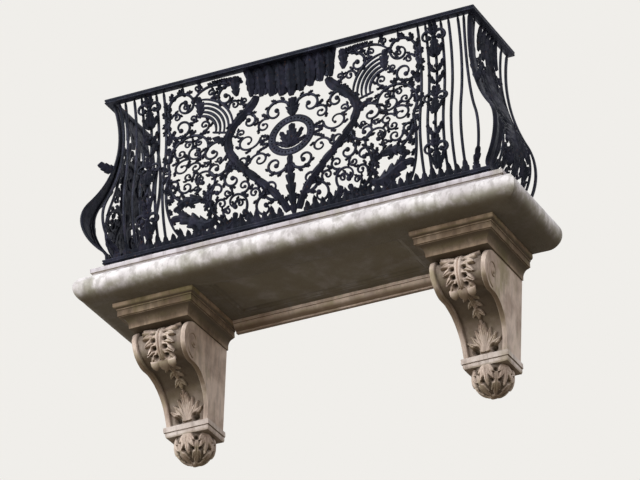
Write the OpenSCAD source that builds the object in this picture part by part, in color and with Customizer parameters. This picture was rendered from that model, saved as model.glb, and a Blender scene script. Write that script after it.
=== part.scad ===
// Bellied wrought iron balcony on a moulded stone landing with two scroll consoles.
// Origin: centre of the landing's back face, on the wall plane. X runs along the wall,
// the balcony stands out toward -Y, and Z is up. Heights inside the railing are taken
// from the top of the landing step. Lengths are in millimetres.

/* [Railing] */
// Width of the handrail, outer edge to outer edge
rail_w = 2040; // [1800:10:2300]
// Depth of the handrail in front of the wall
rail_d = 560; // [480:5:620]
// Height of the handrail top above the landing step
rail_h = 960; // [900:5:1060]
// Width of the handrail bar
hand_w = 44; // [34:1:54]
// Thickness of the handrail bar
hand_t = 26; // [18:1:34]
// Width of the base rail
base_w = 34; // [26:1:44]
// Thickness of the base rail
base_t = 24; // [16:1:32]
// Gap between the base rail and the landing step, bridged by the feet
base_gap = 14; // [8:1:24]

/* [Belly] */
// How far in from the handrail edge the bars meet the handrail
top_in = 36; // [28:1:40]
// Drop from the handrail top to the neck
neck_drop = 190; // [150:5:230]
// Height of the fullest line of the belly
belly_h = 250; // [200:5:290]
// Height at which the belly lands on its straight foot
foot_h = 80; // [60:5:100]
// Where the foot stands, measured out from the handrail edge
foot_out = 14; // [0:1:24]
// How far the neck draws in at the corners
corner_neck = 54; // [50:1:62]
// How far the belly swells out at the corners
corner_belly = 103; // [80:1:120]
// How far the neck draws in along the front
front_neck = 50; // [48:1:56]
// How far the belly swells out along the front
front_belly = 36; // [32:1:60]
// How far the neck draws in along the sides
side_neck = 52; // [48:1:60]
// How far the belly swells out along the sides
side_belly = 66; // [50:1:80]

/* [Ironwork] */
// Width of the upright bars
bar_w = 14; // [10:1:18]
// Thickness of the upright bars
bar_t = 12; // [9:1:16]
// Width of the corner bars
corner_w = 22; // [16:1:26]
// Width of the scroll straps
strap_w = 17; // [12:1:20]
// Thickness of the scroll straps
strap_t = 12; // [8:1:16]
// Width of the two broad bands round the medallion
cartouche_w = 38; // [28:1:48]
// Inner edge of each barred strip, from the middle of the front
strip_in = 695; // [680:5:720]
// Width of each barred strip
strip_w = 180; // [150:5:200]
// Number of bars in each barred strip
strip_bars = 5; // [4:1:6]
// Outer radius of the medallion ring
medal_r = 128; // [110:2:140]
// Height of the middle of the medallion
medal_h = 492; // [470:2:510]
// Width of the pierced valance under the front handrail
valance_w = 520; // [440:10:580]
// Drop of the valances
valance_drop = 205; // [170:5:220]
// Width of the valance at each side
side_valance_w = 250; // [200:5:300]
// Thickness of the valance plates
valance_t = 14; // [8:1:20]

/* [Landing] */
// Width of the landing over its round edge
slab_w = 2380; // [2300:10:2640]
// Depth of the landing over its round edge
slab_d = 655; // [640:5:760]
// Thickness of the landing and diameter of its round edge
slab_t = 150; // [120:2:180]
// Width of the step on the landing
step_w = 2230; // [2180:10:2280]
// Depth of the step on the landing
step_d = 600; // [585:5:635]
// Height of the step
step_t = 40; // [28:1:56]
// Depth of the sunk panel in the soffit
panel_sink = 14; // [8:1:24]
// Projection of the bed moulding under the landing
bed_out = 58; // [40:1:80]

/* [Consoles] */
// Distance from each end of the landing to the middle of its console
console_inset = 385; // [340:5:440]
// Width of the console body under its cap
console_w = 310; // [270:5:330]
// Width of the console body at its lower end
shank_w = 226; // [200:2:260]
// Height of the console cap
cap_h = 130; // [100:2:144]
// How far the cap stands out past the body at its top
cap_out = 66; // [44:1:74]
// Projection of the scroll at the top of the body
scroll_out = 490; // [440:5:500]
// Radius of the scroll at the top of the body
scroll_r = 104; // [90:1:116]
// Projection of the lower end of the body
shank_out = 190; // [170:5:215]
// Height of the body below the cap
body_h = 443; // [410:1:480]
// Height of the band under the body
band_h = 56; // [48:1:70]
// How far the band stands out past the body
band_out = 12; // [8:1:18]
// Radius of the carved pendant
pendant_r = 112; // [95:1:122]
// Height of the carved pendant
pendant_h = 146; // [126:2:170]
// Width of the raised rim along each edge of the body
rim_w = 28; // [20:1:36]
// Depth of the hollow between the rims
rim_sink = 16; // [8:1:24]

/* [Hidden] */
$fn = 64;
// Clearance at which one piece seats on the next
seat = 0.3;
// Overrun of a cutting shape past what it cuts
over = 10;
half_w = rail_w / 2;
// Levels above the step
neck_h = rail_h - neck_drop;
hand_z = rail_h - hand_t;
base_z = base_gap + base_t;
// Levels in the part's own frame, whose zero is the middle of the landing
step_top = slab_t / 2 + step_t;
soffit_z = -slab_t / 2;
console_span = slab_w - 2 * console_inset;
console_x = console_span / 2;
cap_z = soffit_z - cap_h;
body_z = cap_z - body_h;
band_z = body_z - band_h;
pendant_z = band_z - pendant_h;
scroll_z = cap_z - scroll_r;
shank_r = 180;
iron = [0.10, 0.10, 0.13];
stone = [0.66, 0.62, 0.56];
pale_stone = [0.76, 0.74, 0.70];

// A bellied form is three tangent arcs, the neck, the belly and the foot, on a straight
// foot. It is kept as [neck, belly, neck radius, belly radius, foot radius, turning angle].
// swell(f, z) gives its distance out from the handrail edge at a height above the step.
function sagitta_r(h, d) = (h * h + d * d) / (2 * d);
function form(neck, belly) =
  let (arc_sum = sagitta_r(neck_h - belly_h, belly + neck),
    neck_r = sagitta_r(hand_z - neck_h, neck - top_in))
  [neck, belly, neck_r, arc_sum - neck_r, sagitta_r(belly_h - foot_h, belly - foot_out),
    asin((neck_h - belly_h) / arc_sum)];
front_form = form(front_neck, front_belly);
side_form = form(side_neck, side_belly);
corner_form = form(corner_neck, corner_belly);
function turn_h(f) = belly_h + f[3] * sin(f[5]);
function swell(f, z) =
  z > turn_h(f) ? f[2] - f[0] - sqrt(f[2] ^ 2 - (z - neck_h) ^ 2)
  : z > belly_h ? f[1] - f[3] + sqrt(f[3] ^ 2 - (z - belly_h) ^ 2)
  : z > foot_h ? f[1] - f[4] + sqrt(f[4] ^ 2 - (z - belly_h) ^ 2)
  : foot_out;

// Places on the bellied surface: s along X on the front and along Y on the side, z up,
// o out from the middle line. On the corner s runs across the mitre, and on_leaf stands
// out from the corner in the plane of the mitre.
on_front = function(s, z, o) [s, -(rail_d + swell(front_form, z) + o), z];
on_side = function(s, z, o) [half_w + swell(side_form, z) + o, s, z];
on_corner = function(s, z, o) let (out = swell(corner_form, z))
  [half_w + out + (s + o) / sqrt(2), -(rail_d + out) + (s - o) / sqrt(2), z];
on_leaf = function(s, z, o) on_corner(-o, z, s);

// Flat paths in the surface
function spiral(c, r0, r1, a0, a1, n) =
  [for (i = [0:n]) let (k = i / n, r = r0 * pow(r1 / r0, k), a = a0 + (a1 - a0) * k)
    c + r * [cos(a), sin(a)]];
// A scroll that leaves the point p and winds round the centre c, down to radius tip
function curl(p, c, tip, turn, n) =
  let (a = atan2(p[1] - c[1], p[0] - c[0])) spiral(c, norm(p - c), tip, a, a + turn, n);
function curve(a, b, c, d, n) =
  [for (i = [0:n]) let (t = i / n, u = 1 - t)
    u * u * u * a + 3 * u * u * t * b + 3 * u * t * t * c + t * t * t * d];
function unit(v) = v / norm(v);
function heading(p, i) = unit(p[min(i + 1, len(p) - 1)] - p[max(i - 1, 0)]);
// Width along a strap: even, thinned to its tip, or swollen like a leaf
function even(w) = function(k) w;
function thinned(w, tip) = function(k) w * (1 - (1 - tip) * k * k);
function leafed(w, tip) = function(k) w * (tip + (1 - tip) * sin(180 * pow(k, 0.8)));

// A flat strap swept along a path on a surface, with a rectangular section
module strap(path, width, place, t = strap_t) {
  n = len(path);
  points = [for (i = [0:n - 1])
    let (d = heading(path, i), side = [-d[1], d[0]], w = width(i / (n - 1)) / 2)
    each [for (q = [[-1, -1], [1, -1], [1, 1], [-1, 1]])
      let (p = path[i] + side * w * q[0]) place(p[0], p[1], q[1] * t / 2)]];
  e = 4 * n - 4;
  polyhedron(points, concat([[0, 1, 2], [0, 2, 3]], strap_walls([0:n - 2], 4 * n),
    [[e, e + 2, e + 1], [e, e + 3, e + 2]]));
}
function strap_walls(steps, count) = [for (i = steps) each [for (j = [0:3])
  let (a = 4 * i + j, b = 4 * i + (j + 1) % 4, c = (a + 4) % count, d = (b + 4) % count)
  each [[a, c, d], [a, d, b]]]];
// A closed ring of the same strap
module hoop(c, r, w, place, n = 28) {
  points = [for (i = [0:n - 1]) let (a = 90 - 360 * i / n)
    each [for (q = [[-1, -1], [1, -1], [1, 1], [-1, 1]])
      let (p = c + (r + q[0] * w / 2) * [cos(a), sin(a)]) place(p[0], p[1], q[1] * strap_t / 2)]];
  polyhedron(points, strap_walls([0:n - 1], 4 * n));
}

// A bellied form as a thin band, drawn with x outward and y up
module sector(r, a0, a1) {
  steps = 3;
  polygon(concat([[0, 0]], [for (i = [0:steps])
    let (a = a0 + (a1 - a0) * i / steps) 2 * r * [cos(a), sin(a)]]));
}
module arc_band(r, t, a0, a1) {
  intersection() {
    difference() {
      circle(r + t / 2, $fn = 180);
      circle(r - t / 2, $fn = 180);
    }
    sector(r + t, a0, a1);
  }
}
module bellied_band(f, t, low, high) {
  spread = 50;
  intersection() {
    union() {
      translate([f[2] - f[0], neck_h]) arc_band(f[2], t, 180 - spread, 180 + f[5]);
      translate([f[1] - f[3], belly_h]) arc_band(f[3], t, 0, f[5]);
      translate([f[1] - f[4], belly_h])
        arc_band(f[4], t, -asin((belly_h - foot_h) / f[4]), 0);
      translate([foot_out - t / 2, base_z]) square([t, foot_h - base_z]);
    }
    translate([-rail_d, low]) square([2 * rail_d, high - low]);
  }
}
// One upright bar from the base rail to the handrail, standing out along -Y
module upright(f, w, t) {
  translate([-w / 2, 0, 0]) rotate([90, 0, 90])
    linear_extrude(w) mirror([1, 0]) bellied_band(f, t, base_z + seat, hand_z - seat);
}

// A block whose front and two sides carry the same moulding: children draw the moulding
// outside x = 0, with y up
module moulded_block(w, d, reach, low, high) {
  intersection() {
    translate([-w / 2 - reach, 0, 0]) rotate([90, 0, 90]) linear_extrude(w + 2 * reach)
      mirror([1, 0]) {
        translate([d, 0]) children();
        translate([0, low]) square([d, high - low]);
      }
    rotate([90, 0, 0]) linear_extrude(d + reach) {
      translate([w / 2, 0]) children();
      mirror([1, 0]) translate([w / 2, 0]) children();
      translate([-w / 2, low]) square([w, high - low]);
    }
  }
}

// The landing
module landing_slab() color(pale_stone) {
  r = slab_t / 2;
  panel_w = console_span - console_w - 4 * cap_out;
  panel_rim = 90;
  difference() {
    moulded_block(slab_w - slab_t, slab_d - r, r, -r, r)
      intersection() {
        circle(r, $fn = 96);
        translate([0, -r]) square([r, 2 * r]);
      }
    translate([-panel_w / 2, -slab_d + r + panel_rim, -r - over])
      cube([panel_w, slab_d - r - panel_rim - bed_out - panel_rim / 2, panel_sink + over]);
  }
}
module landing_step() color(stone)
  translate([-step_w / 2, -step_d, slab_t / 2]) cube([step_w, step_d, step_t]);

module bed_moulding() color(stone) {
  w = console_span - console_w - 2 * cap_out - 2 * seat;
  cove = bed_out * 0.6;
  translate([-w / 2, 0, 0]) rotate([90, 0, 90]) linear_extrude(w) mirror([1, 0])
    difference() {
      translate([0, soffit_z - bed_out]) square([bed_out, bed_out - seat]);
      translate([bed_out, soffit_z - bed_out]) circle(cove);
    }
}

// The consoles, drawn for the right side and mirrored for the left
module to_side(s) {
  if (s < 0) mirror([1, 0, 0]) children();
  else children();
}
module console_cap(s) color(stone) to_side(s) translate([console_x, 0, 0]) {
  fillet = cap_h * 0.26;
  fascia = cap_h * 0.28;
  cove = cap_h - fillet - fascia - seat;
  moulded_block(console_w, scroll_out - scroll_r * 0.15, cap_out, cap_z + seat, soffit_z - seat) {
    translate([0, soffit_z - fillet]) square([cap_out, fillet - seat]);
    translate([0, soffit_z - fillet - fascia]) square([cap_out * 0.72, fascia]);
    difference() {
      translate([0, cap_z + seat]) square([cap_out * 0.62, cove]);
      translate([cap_out * 0.62, cap_z + seat]) circle(cap_out * 0.5);
    }
  }
}
// Side outline of the console body, x outward and y up: the scroll runs into the hollow
// shank in one tangent curve. sink draws its front back.
scroll_y = scroll_out - scroll_r;
shank_x = shank_out + shank_r;
shank_z = scroll_z - sqrt((shank_r + scroll_r) ^ 2 - (shank_x - scroll_y) ^ 2);
module body_outline(sink) {
  difference() {
    union() {
      translate([scroll_y, scroll_z]) circle(scroll_r - sink, $fn = 96);
      translate([0, scroll_z]) square([scroll_y, scroll_r]);
      polygon([[0, body_z], [shank_out - sink, body_z], [shank_out - sink, shank_z],
        [shank_x, shank_z], [scroll_y, scroll_z], [0, scroll_z]]);
    }
    translate([shank_x, shank_z]) circle(shank_r + sink, $fn = 96);
  }
}
module console_slice(sink) {
  translate([-console_w / 2, 0, 0]) rotate([90, 0, 90]) linear_extrude(console_w)
    mirror([1, 0]) body_outline(sink);
}
// Front view of the body, which narrows downward, as a prism past its front
module console_taper(inset) {
  top = console_w / 2 - inset;
  foot = shank_w / 2 - inset;
  translate([0, over, 0]) rotate([90, 0, 0]) linear_extrude(scroll_out + 2 * over)
    polygon([[-foot, body_z], [foot, body_z], [top, cap_z], [-top, cap_z]]);
}
module console_body(s) color(stone) to_side(s) translate([console_x, 0, 0]) {
  intersection() {
    console_slice(rim_sink);
    console_taper(0);
  }
  intersection() {
    console_slice(0);
    difference() {
      console_taper(0);
      console_taper(rim_w);
    }
  }
}
// Places on the hollow between the rims: s across, v up its curved front from below the
// cap at zero, o out
function turn_of(length, r) = length / r * 180 / PI;
meet = atan2(shank_z - scroll_z, shank_x - scroll_y);
scroll_run = scroll_r * (90 - meet) * PI / 180;
on_console = function(s, v, o)
  let (d = o - rim_sink, past = -v - scroll_run,
    c = past < 0 ? [scroll_y, scroll_z] : [shank_x, shank_z],
    r = past < 0 ? scroll_r + d : shank_r - d,
    a = past < 0 ? 90 - turn_of(-v, scroll_r) : min(180, meet + 180 + turn_of(past, shank_r)))
  [s, -(c[0] + r * cos(a)), c[1] + r * sin(a)];
module console_leaf(s) color(stone) to_side(s) translate([console_x, 0, 0]) {
  leaf_t = 22;
  inner_w = shank_w - 2 * rim_w;
  root = scroll_run * 0.12;
  lip = scroll_run * 0.93;
  lobes = 4;
  n = 32;
  path = [for (i = [0:n]) [0, -root - (lip - root) * i / n]];
  scallop = function(k) inner_w * (0.55 + 0.4 * (1 - k)) * (0.78 + 0.22 * abs(sin(180 * lobes * k)));
  strap(path, scallop, function(s, v, o) on_console(s, v, o + leaf_t / 2 + seat), leaf_t);
}
module console_band(s) color(pale_stone) to_side(s) translate([console_x, 0, 0]) {
  upper = band_h * 0.55;
  moulded_block(shank_w, shank_out, band_out, band_z + seat, body_z - seat) {
    translate([0, body_z - upper]) square([band_out, upper - seat]);
    translate([0, band_z + seat]) square([band_out * 0.4, band_h - upper]);
  }
}
// A ball under the middle of the band, cut off by the band above and by the wall
module console_pendant(s) color(stone) to_side(s) translate([console_x, 0, 0])
  intersection() {
    translate([0, -(shank_out + band_out) / 2, pendant_z + pendant_r]) sphere(pendant_r, $fn = 72);
    translate([-2 * pendant_r, -4 * pendant_r, pendant_z - over])
      cube([4 * pendant_r, 4 * pendant_r, pendant_h + over]);
  }

// The rails are mitred frames of three bars. out is how far the outer edge lies past the
// handrail edge.
module rail_front(out, w, low, t) {
  edge = half_w + out - seat / 2;
  front = -rail_d - out;
  translate([0, 0, low]) linear_extrude(t)
    polygon([[-edge, front], [edge, front], [edge - w, front + w], [w - edge, front + w]]);
}
module rail_side(s, out, w, low, t) {
  edge = half_w + out;
  front = -rail_d - out + seat / 2;
  to_side(s) translate([0, 0, low]) linear_extrude(t)
    polygon([[edge - w, 0], [edge, 0], [edge, front], [edge - w, front + w]]);
}
module handrail_front() color(iron) up() rail_front(0, hand_w, hand_z, hand_t);
module handrail_side(s) color(iron) up() rail_side(s, 0, hand_w, hand_z, hand_t);
module base_rail_front() color(iron) up() rail_front(foot_out + base_w / 2, base_w, base_gap, base_t);
module base_rail_side(s) color(iron) up()
  rail_side(s, foot_out + base_w / 2, base_w, base_gap, base_t);
module up() translate([0, 0, step_top]) children();

// Feet under the base rail
module feet() color(iron) up() {
  foot_w = base_w * 0.8;
  line = rail_d + foot_out;
  for (x = [-half_w - foot_out, -strip_in - strip_w / 2, 0, strip_in + strip_w / 2, half_w + foot_out])
    translate([x - foot_w / 2, -line - foot_w / 2, 0]) cube([foot_w, foot_w, base_gap - seat]);
  for (s = [-1, 1])
    translate([s * (half_w + foot_out) - foot_w / 2, -foot_w * 1.5, 0]) cube([foot_w, foot_w, base_gap - seat]);
}

// Upright bars. The corner bars swell the most. Between them and the last bar of the front
// or the side stands one fan bar, halfway over.
bar_steps = 24;
bar_line = [for (i = [0:bar_steps])
  [0, base_z + seat + (hand_z - base_z - 2 * seat) * i / bar_steps]];
module corner_bar(s) color(iron) to_side(s) up() strap(bar_line, even(corner_w), on_corner, bar_t);
slim_x = strip_in + strip_w + (half_w - strip_in - strip_w) * 0.3;
fan_front = function(s, z, o) (on_front(slim_x + s, z, o) + on_corner(0, z, 0) + [s, -o, 0]) / 2;
fan_side = function(s, z, o) (on_side(s - rail_d + side_bar_in, z, o) + on_corner(0, z, 0) + [o, s, 0]) / 2;
// A pointed leaf that springs out of the corner bar
module corner_leaf(s) color(iron) to_side(s) up() {
  root = bar_t / 2 + seat;
  strap(curve([root, panel_z(0.58)], [root + 30, panel_z(0.58)], [root + 60, panel_z(0.6)],
    [root + 72, panel_z(0.65)], 8), leafed(32, 0.15), on_leaf);
}
module front_bar(x) translate([x, -rail_d, 0]) upright(front_form, bar_w, bar_t);
module side_bar(s, y, w = bar_w) to_side(s) translate([half_w, -y, 0]) rotate([0, 0, 90])
  upright(side_form, w, bar_t);
wall_bar_y = corner_w;
module wall_bar(s) color(iron) up() side_bar(s, wall_bar_y, corner_w);
module slim_bar(s) color(iron) up() to_side(s) {
  front_bar(slim_x);
  strap(bar_line, even(bar_w), fan_front, bar_t);
  strap(bar_line, even(bar_w), fan_side, bar_t);
}
module strip_bars_side(s) color(iron) up() to_side(s)
  for (i = [0:strip_bars - 1])
    front_bar(strip_in + bar_w / 2 + (strip_w - bar_w) * i / (strip_bars - 1));
// The middle of each side, and the two bars that frame its scrollwork
side_mid = rail_d / 2;
side_bar_in = 98;
side_half = rail_d / 2 - side_bar_in;
side_bar_y = [side_mid - side_half, side_mid + side_half];
module side_bars(s) color(iron) up() for (y = side_bar_y) side_bar(s, y);

// Small curls laid over each barred strip: two at the top, a knot and two at the foot
module strip_curls(s) color(iron) up() to_side(s) {
  mid = strip_in + strip_w / 2;
  r = strip_w * 0.26;
  lift = function(x, z, o) on_front(x, z, o + bar_t / 2 + strap_t / 2 + seat);
  for (z = [neck_h + neck_drop * 0.45, medal_h, belly_h * 0.75]) for (m = [-1, 1])
    strap(spiral([mid + m * r * 0.82, z], r, r * 0.25, m > 0 ? 200 : -20, m > 0 ? -160 : 340, 11),
      thinned(strap_w * 0.8, 0.7), lift);
}

// The scrollwork of one half of the front, drawn for the right half. Points are shares of
// the panel's half width and of the height between the rails.
scroll_edge = strip_in - seat;
function panel_z(v) = base_z + v * (hand_z - base_z);
function at(u, v) = [u * scroll_edge, panel_z(v)];
post_top = at(0.973, 0.819);
post_mid = at(0.956, 0.449);
top_c = at(0.855, 0.884);
hook_c = at(0.881, 0.752);
wheel_c = at(0.77, 0.566);
curl_c = at(0.7, 0.343);
foot_c = at(0.439, 0.15);
bud_c = at(0.573, 0.25);
fork = at(0.612, 0.261);
module tie(a, b, w = strap_w * 0.8) strap([a, (a + b) / 2, b], even(w), on_front);
module front_scrolls(s) color(iron) up() to_side(s) {
  taper = thinned(strap_w, 0.6);
  low = base_z + seat;
  brace = at(0.783, 0.897);
  strap(curl(post_top, top_c, 20, 505, 19), taper, on_front);
  strap(curl(post_top, hook_c, 18, -470, 18), taper, on_front);
  strap(curl(post_mid, wheel_c, 18, 560, 22), taper, on_front);
  strap(curl(post_mid, curl_c, 18, -500, 21), taper, on_front);
  strap(curl(fork, foot_c, 20, -480, 19), taper, on_front);
  strap(curl(at(0.635, 0.188), bud_c, 14, 330, 12), taper, on_front);
  strap(curve(at(0.593, 0.094), at(0.72, 0.013), at(0.806, 0.17), at(0.953, 0.136), 9),
    leafed(46, 0.2), on_front);
  strap(curve(at(0.688, 0.215), at(0.749, 0.243), at(0.835, 0.243), at(0.921, 0.185), 7),
    leafed(34, 0.25), on_front);
  strap(curve(post_mid, at(0.996, 0.326), at(0.996, 0.103), at(0.881, 0.02), 9), taper, on_front);
  strap(curve([valance_w / 2 + 2 * seat, panel_z(0.945)], at(0.475, 0.945), at(0.691, 1.018), brace, 8),
    taper, on_front);
  tie(post_top, [scroll_edge, post_top[1]]);
  tie(post_mid, [scroll_edge, post_mid[1]]);
  tie([top_c[0], panel_z(0.951)], [top_c[0], hand_z - seat]);
  tie(at(0.887, 0.027), [at(0.887, 0.027)[0], low]);
  tie([foot_c[0], panel_z(0.051)], [foot_c[0], low]);
}
// The valance plates hang from the handrail. Round lobes make the lower edge, and they
// rise toward both ends.
valance_lobes = 5;
lobe_rise = 28;
function lobe_r(w) = w / valance_lobes / 2 * 1.15;
function lobe_x(w, i) = i * (w - 2 * lobe_r(w)) / (valance_lobes - 1);
function lobe_low(i) = hand_z - seat - valance_drop + lobe_rise * abs(i);
module lobed(w) {
  r = lobe_r(w);
  last = floor(valance_lobes / 2);
  translate([-w / 2, lobe_low(last) + r]) square([w, hand_z - seat - lobe_low(last) - r]);
  for (i = [-last:last]) {
    translate([lobe_x(w, i), lobe_low(i) + r]) circle(r);
    translate([lobe_x(w, i) - r, lobe_low(i) + r]) square([2 * r, lobe_low(last) - lobe_low(i) + 1]);
  }
}
module valance(f, w) {
  intersection() {
    translate([-w, 0, 0]) rotate([90, 0, 90]) linear_extrude(2 * w)
      mirror([1, 0]) bellied_band(f, valance_t, turn_h(f), hand_z - seat);
    translate([0, rail_d, 0]) rotate([90, 0, 0]) linear_extrude(2 * rail_d) lobed(w);
  }
}
module valance_front() color(iron) up() translate([0, -rail_d, 0])
  valance(front_form, valance_w);
module valance_side(s) color(iron) up() to_side(s)
  translate([half_w, -side_mid, 0]) rotate([0, 0, 90]) valance(side_form, side_valance_w);

// The broad band that sweeps from the valance past the medallion to the foot, with the
// ribs of a shell on its outer side, drawn for the right half
module cartouche(s) color(iron) up() to_side(s) {
  taper = thinned(strap_w, 0.6);
  top = [lobe_x(valance_w, 2), lobe_low(2) - seat];
  wide = at(0.507, 0.583);
  foot = [30, base_z + 26];
  upper = curve(top, top - [0, 60], wide + [0, 110], wide, 8);
  lower = curve(wide, wide - [0, 190], [80, 230], foot, 9);
  strap(concat(upper, [for (i = [1:len(lower) - 1]) lower[i]]), even(cartouche_w), on_front);
  shell_c = at(0.749, 0.694);
  for (r = [92:30:182]) strap(spiral(shell_c, r, r + 4, 96, 196, 7), even(strap_w * 0.7), on_front);
  strap([for (r = [88:35:193]) shell_c + r * [cos(192), sin(192)]], even(strap_w * 0.7), on_front);
  strap(curl(at(0.063, 0.125), at(0.147, 0.186), 15, 400, 14), taper, on_front);
  strap(curl(at(0.063, 0.06), at(0.216, 0.08), 14, -430, 14), taper, on_front);
}
// The medallion with its bud, the two leaves that carry it on the middle line, and the
// scrolls that spring from them above and below the ring
module medallion() color(iron) up() {
  ring_w = medal_r / 3;
  sunk = 2;
  inner = medal_r - ring_w + sunk;
  crown = medal_h + medal_r - sunk;
  root = medal_h - medal_r + sunk;
  hoop([0, medal_h], medal_r - ring_w / 2, ring_w, on_front);
  strap([for (i = [0:7]) [0, medal_h - inner + 2 * inner * i / 7]], leafed(58, 0.25), on_front);
  strap([for (i = [0:5]) [0, crown + (lobe_low(0) - seat - crown) * i / 5]], leafed(44, 0.4), on_front);
  strap([for (i = [0:8]) [0, base_z + seat + (root - base_z - seat) * i / 8]], leafed(20, 0.5), on_front);
  taper = thinned(strap_w, 0.6);
  room = lobe_low(0) - seat - crown;
  for (m = [-1, 1]) {
    strap(curl([0, crown + room * 0.13], [m * room * 0.88, crown + room * 0.36], room * 0.13, -430 * m, 15),
      taper, on_front);
    strap(curl([0, root - 24], [m * medal_r * 0.62, root - 34], 13, 430 * m, 15), taper, on_front);
  }
}

// The scrollwork of one side, drawn for the right side about the middle of its depth.
// Points are shares of the framed half depth and of the height between the rails.
function beside(u, v) = [u * side_half, panel_z(v)];
module side_scrolls(s) color(iron) up() to_side(s) {
  taper = thinned(strap_w, 0.6);
  edge = side_half - bar_w / 2 - seat;
  waist = beside(0.053, 0.404);
  arm = beside(0.638, 0.326);
  for (m = [-1, 1]) {
    flip = function(p) [for (q = p) [m * q[0] - side_mid, q[1]]];
    top = [lobe_x(side_valance_w, 2), lobe_low(2) - seat];
    upper = curve(top, top - [0, 70], beside(1.33, 0.516), waist, 10);
    strap(flip(upper), even(strap_w), on_side);
    strap(flip(curve(waist, beside(0.319, 0.292), beside(0.532, 0.158), beside(0.798, 0.009), 8)),
      even(strap_w), on_side);
    strap(flip(curl(upper[4], beside(0.372, 0.599), 14, 430, 14)), taper, on_side);
    strap(flip(curl(beside(0.16, 0.359), beside(0.65, 0.326), 15, -470, 15)), taper, on_side);
    strap(flip(curl(beside(0.66, 0.08), beside(0.33, 0.125), 15, 420, 14)), taper, on_side);
    strap(flip([arm, [(arm[0] + edge) / 2, arm[1]], [edge, arm[1]]]), even(strap_w * 0.8), on_side);
    strap(flip(curve(waist, beside(0.1, 0.52), beside(0.5, 0.6), beside(0.62, 0.73), 7)),
      leafed(58, 0.3), on_side);
  }
  strap([for (i = [0:7]) [-side_mid, base_z + seat + (waist[1] + 20 - base_z - seat) * i / 7]],
    leafed(40, 0.5), on_side);
  strap([for (i = [0:7]) [-side_mid, waist[1] + (lobe_low(0) - seat - waist[1]) * i / 7]],
    leafed(80, 0.3), on_side);
}

landing_slab();
landing_step();
bed_moulding();
console_cap(-1);  // console_cap_left
console_cap(1);  // console_cap_right
console_body(-1);  // console_body_left
console_body(1);  // console_body_right
console_leaf(-1);  // console_leaf_left
console_leaf(1);  // console_leaf_right
console_band(-1);  // console_band_left
console_band(1);  // console_band_right
console_pendant(-1);  // console_pendant_left
console_pendant(1);  // console_pendant_right
handrail_front();
handrail_side(-1);  // handrail_left
handrail_side(1);  // handrail_right
base_rail_front();
base_rail_side(-1);  // base_rail_left
base_rail_side(1);  // base_rail_right
feet();
corner_bar(-1);  // corner_bar_left
corner_bar(1);  // corner_bar_right
corner_leaf(-1);  // corner_leaf_left
corner_leaf(1);  // corner_leaf_right
wall_bar(-1);  // wall_bar_left
wall_bar(1);  // wall_bar_right
slim_bar(-1);  // slim_bar_left
slim_bar(1);  // slim_bar_right
strip_bars_side(-1);  // strip_bars_left
strip_bars_side(1);  // strip_bars_right
strip_curls(-1);  // strip_curls_left
strip_curls(1);  // strip_curls_right
front_scrolls(-1);  // front_scrolls_left
front_scrolls(1);  // front_scrolls_right
cartouche(-1);  // cartouche_left
cartouche(1);  // cartouche_right
medallion();
valance_front();
valance_side(-1);  // valance_left
valance_side(1);  // valance_right
side_bars(-1);  // side_bars_left
side_bars(1);  // side_bars_right
side_scrolls(-1);  // side_scrolls_left
side_scrolls(1);  // side_scrolls_right
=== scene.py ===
"""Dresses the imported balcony: bellied wrought iron scrollwork on a carved stone landing.

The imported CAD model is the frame. Every piece is built in its own place, in metres, from the
boxes of the CAD nodes and from the sizes that each class holds. Heights inside the railing are
taken from the top of the landing step. Aims and turns are in degrees.
"""

import functools
import logging
import math
from collections.abc import Callable, Iterable, Sequence
from dataclasses import dataclass
from enum import Enum

import bmesh
import bpy
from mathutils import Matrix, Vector, kdtree, noise


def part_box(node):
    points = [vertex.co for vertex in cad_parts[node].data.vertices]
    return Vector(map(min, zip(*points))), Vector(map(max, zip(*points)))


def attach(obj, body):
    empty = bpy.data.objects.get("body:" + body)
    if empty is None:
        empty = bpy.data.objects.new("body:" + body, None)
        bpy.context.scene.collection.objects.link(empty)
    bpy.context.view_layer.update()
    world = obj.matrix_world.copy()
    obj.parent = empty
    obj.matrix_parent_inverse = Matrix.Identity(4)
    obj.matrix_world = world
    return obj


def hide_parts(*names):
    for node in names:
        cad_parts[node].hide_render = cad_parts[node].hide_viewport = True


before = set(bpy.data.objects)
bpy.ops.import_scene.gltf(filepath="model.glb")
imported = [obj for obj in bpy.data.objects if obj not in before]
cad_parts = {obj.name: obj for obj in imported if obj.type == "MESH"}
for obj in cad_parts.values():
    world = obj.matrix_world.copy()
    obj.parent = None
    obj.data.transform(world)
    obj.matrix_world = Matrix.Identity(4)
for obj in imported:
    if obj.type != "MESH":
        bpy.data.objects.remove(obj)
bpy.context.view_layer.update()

LOG = logging.getLogger("balcony")
MM = 0.001
# Vector noise takes its offsets from the clock unless it is seeded, and the stone's wear is
# made of it. Any seed but 0 gives the same stone in each run.
WEAR_SEED = 1

Flat = tuple[float, float]
Path = list[Flat]
Place = Callable[[float, float, float], Vector]
Width = Callable[[float], float]
Material = bpy.types.Material
Piece = bpy.types.Object
Socket = bpy.types.NodeSocket
Tree = bpy.types.NodeTree


@functools.cache
def box_of(node: str) -> tuple[Vector, Vector]:
    """The box of a CAD node, read once."""
    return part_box(node)


class Hand(Enum):
    """The two halves of the balcony, as seen from the street."""

    LEFT = -1
    RIGHT = 1

    @property
    def word(self) -> str:
        """The ending of the CAD nodes of this half."""
        return self.name.lower()


def around(count: int, shift: float = 0.0) -> list[float]:
    """Even steps round a circle, in radians."""
    return [math.tau * (i + shift) / count for i in range(count)]


def soften(value: float, power: float) -> float:
    """Raises a signed number to a power and keeps its sign."""
    return math.copysign(abs(value) ** power, value)


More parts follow.
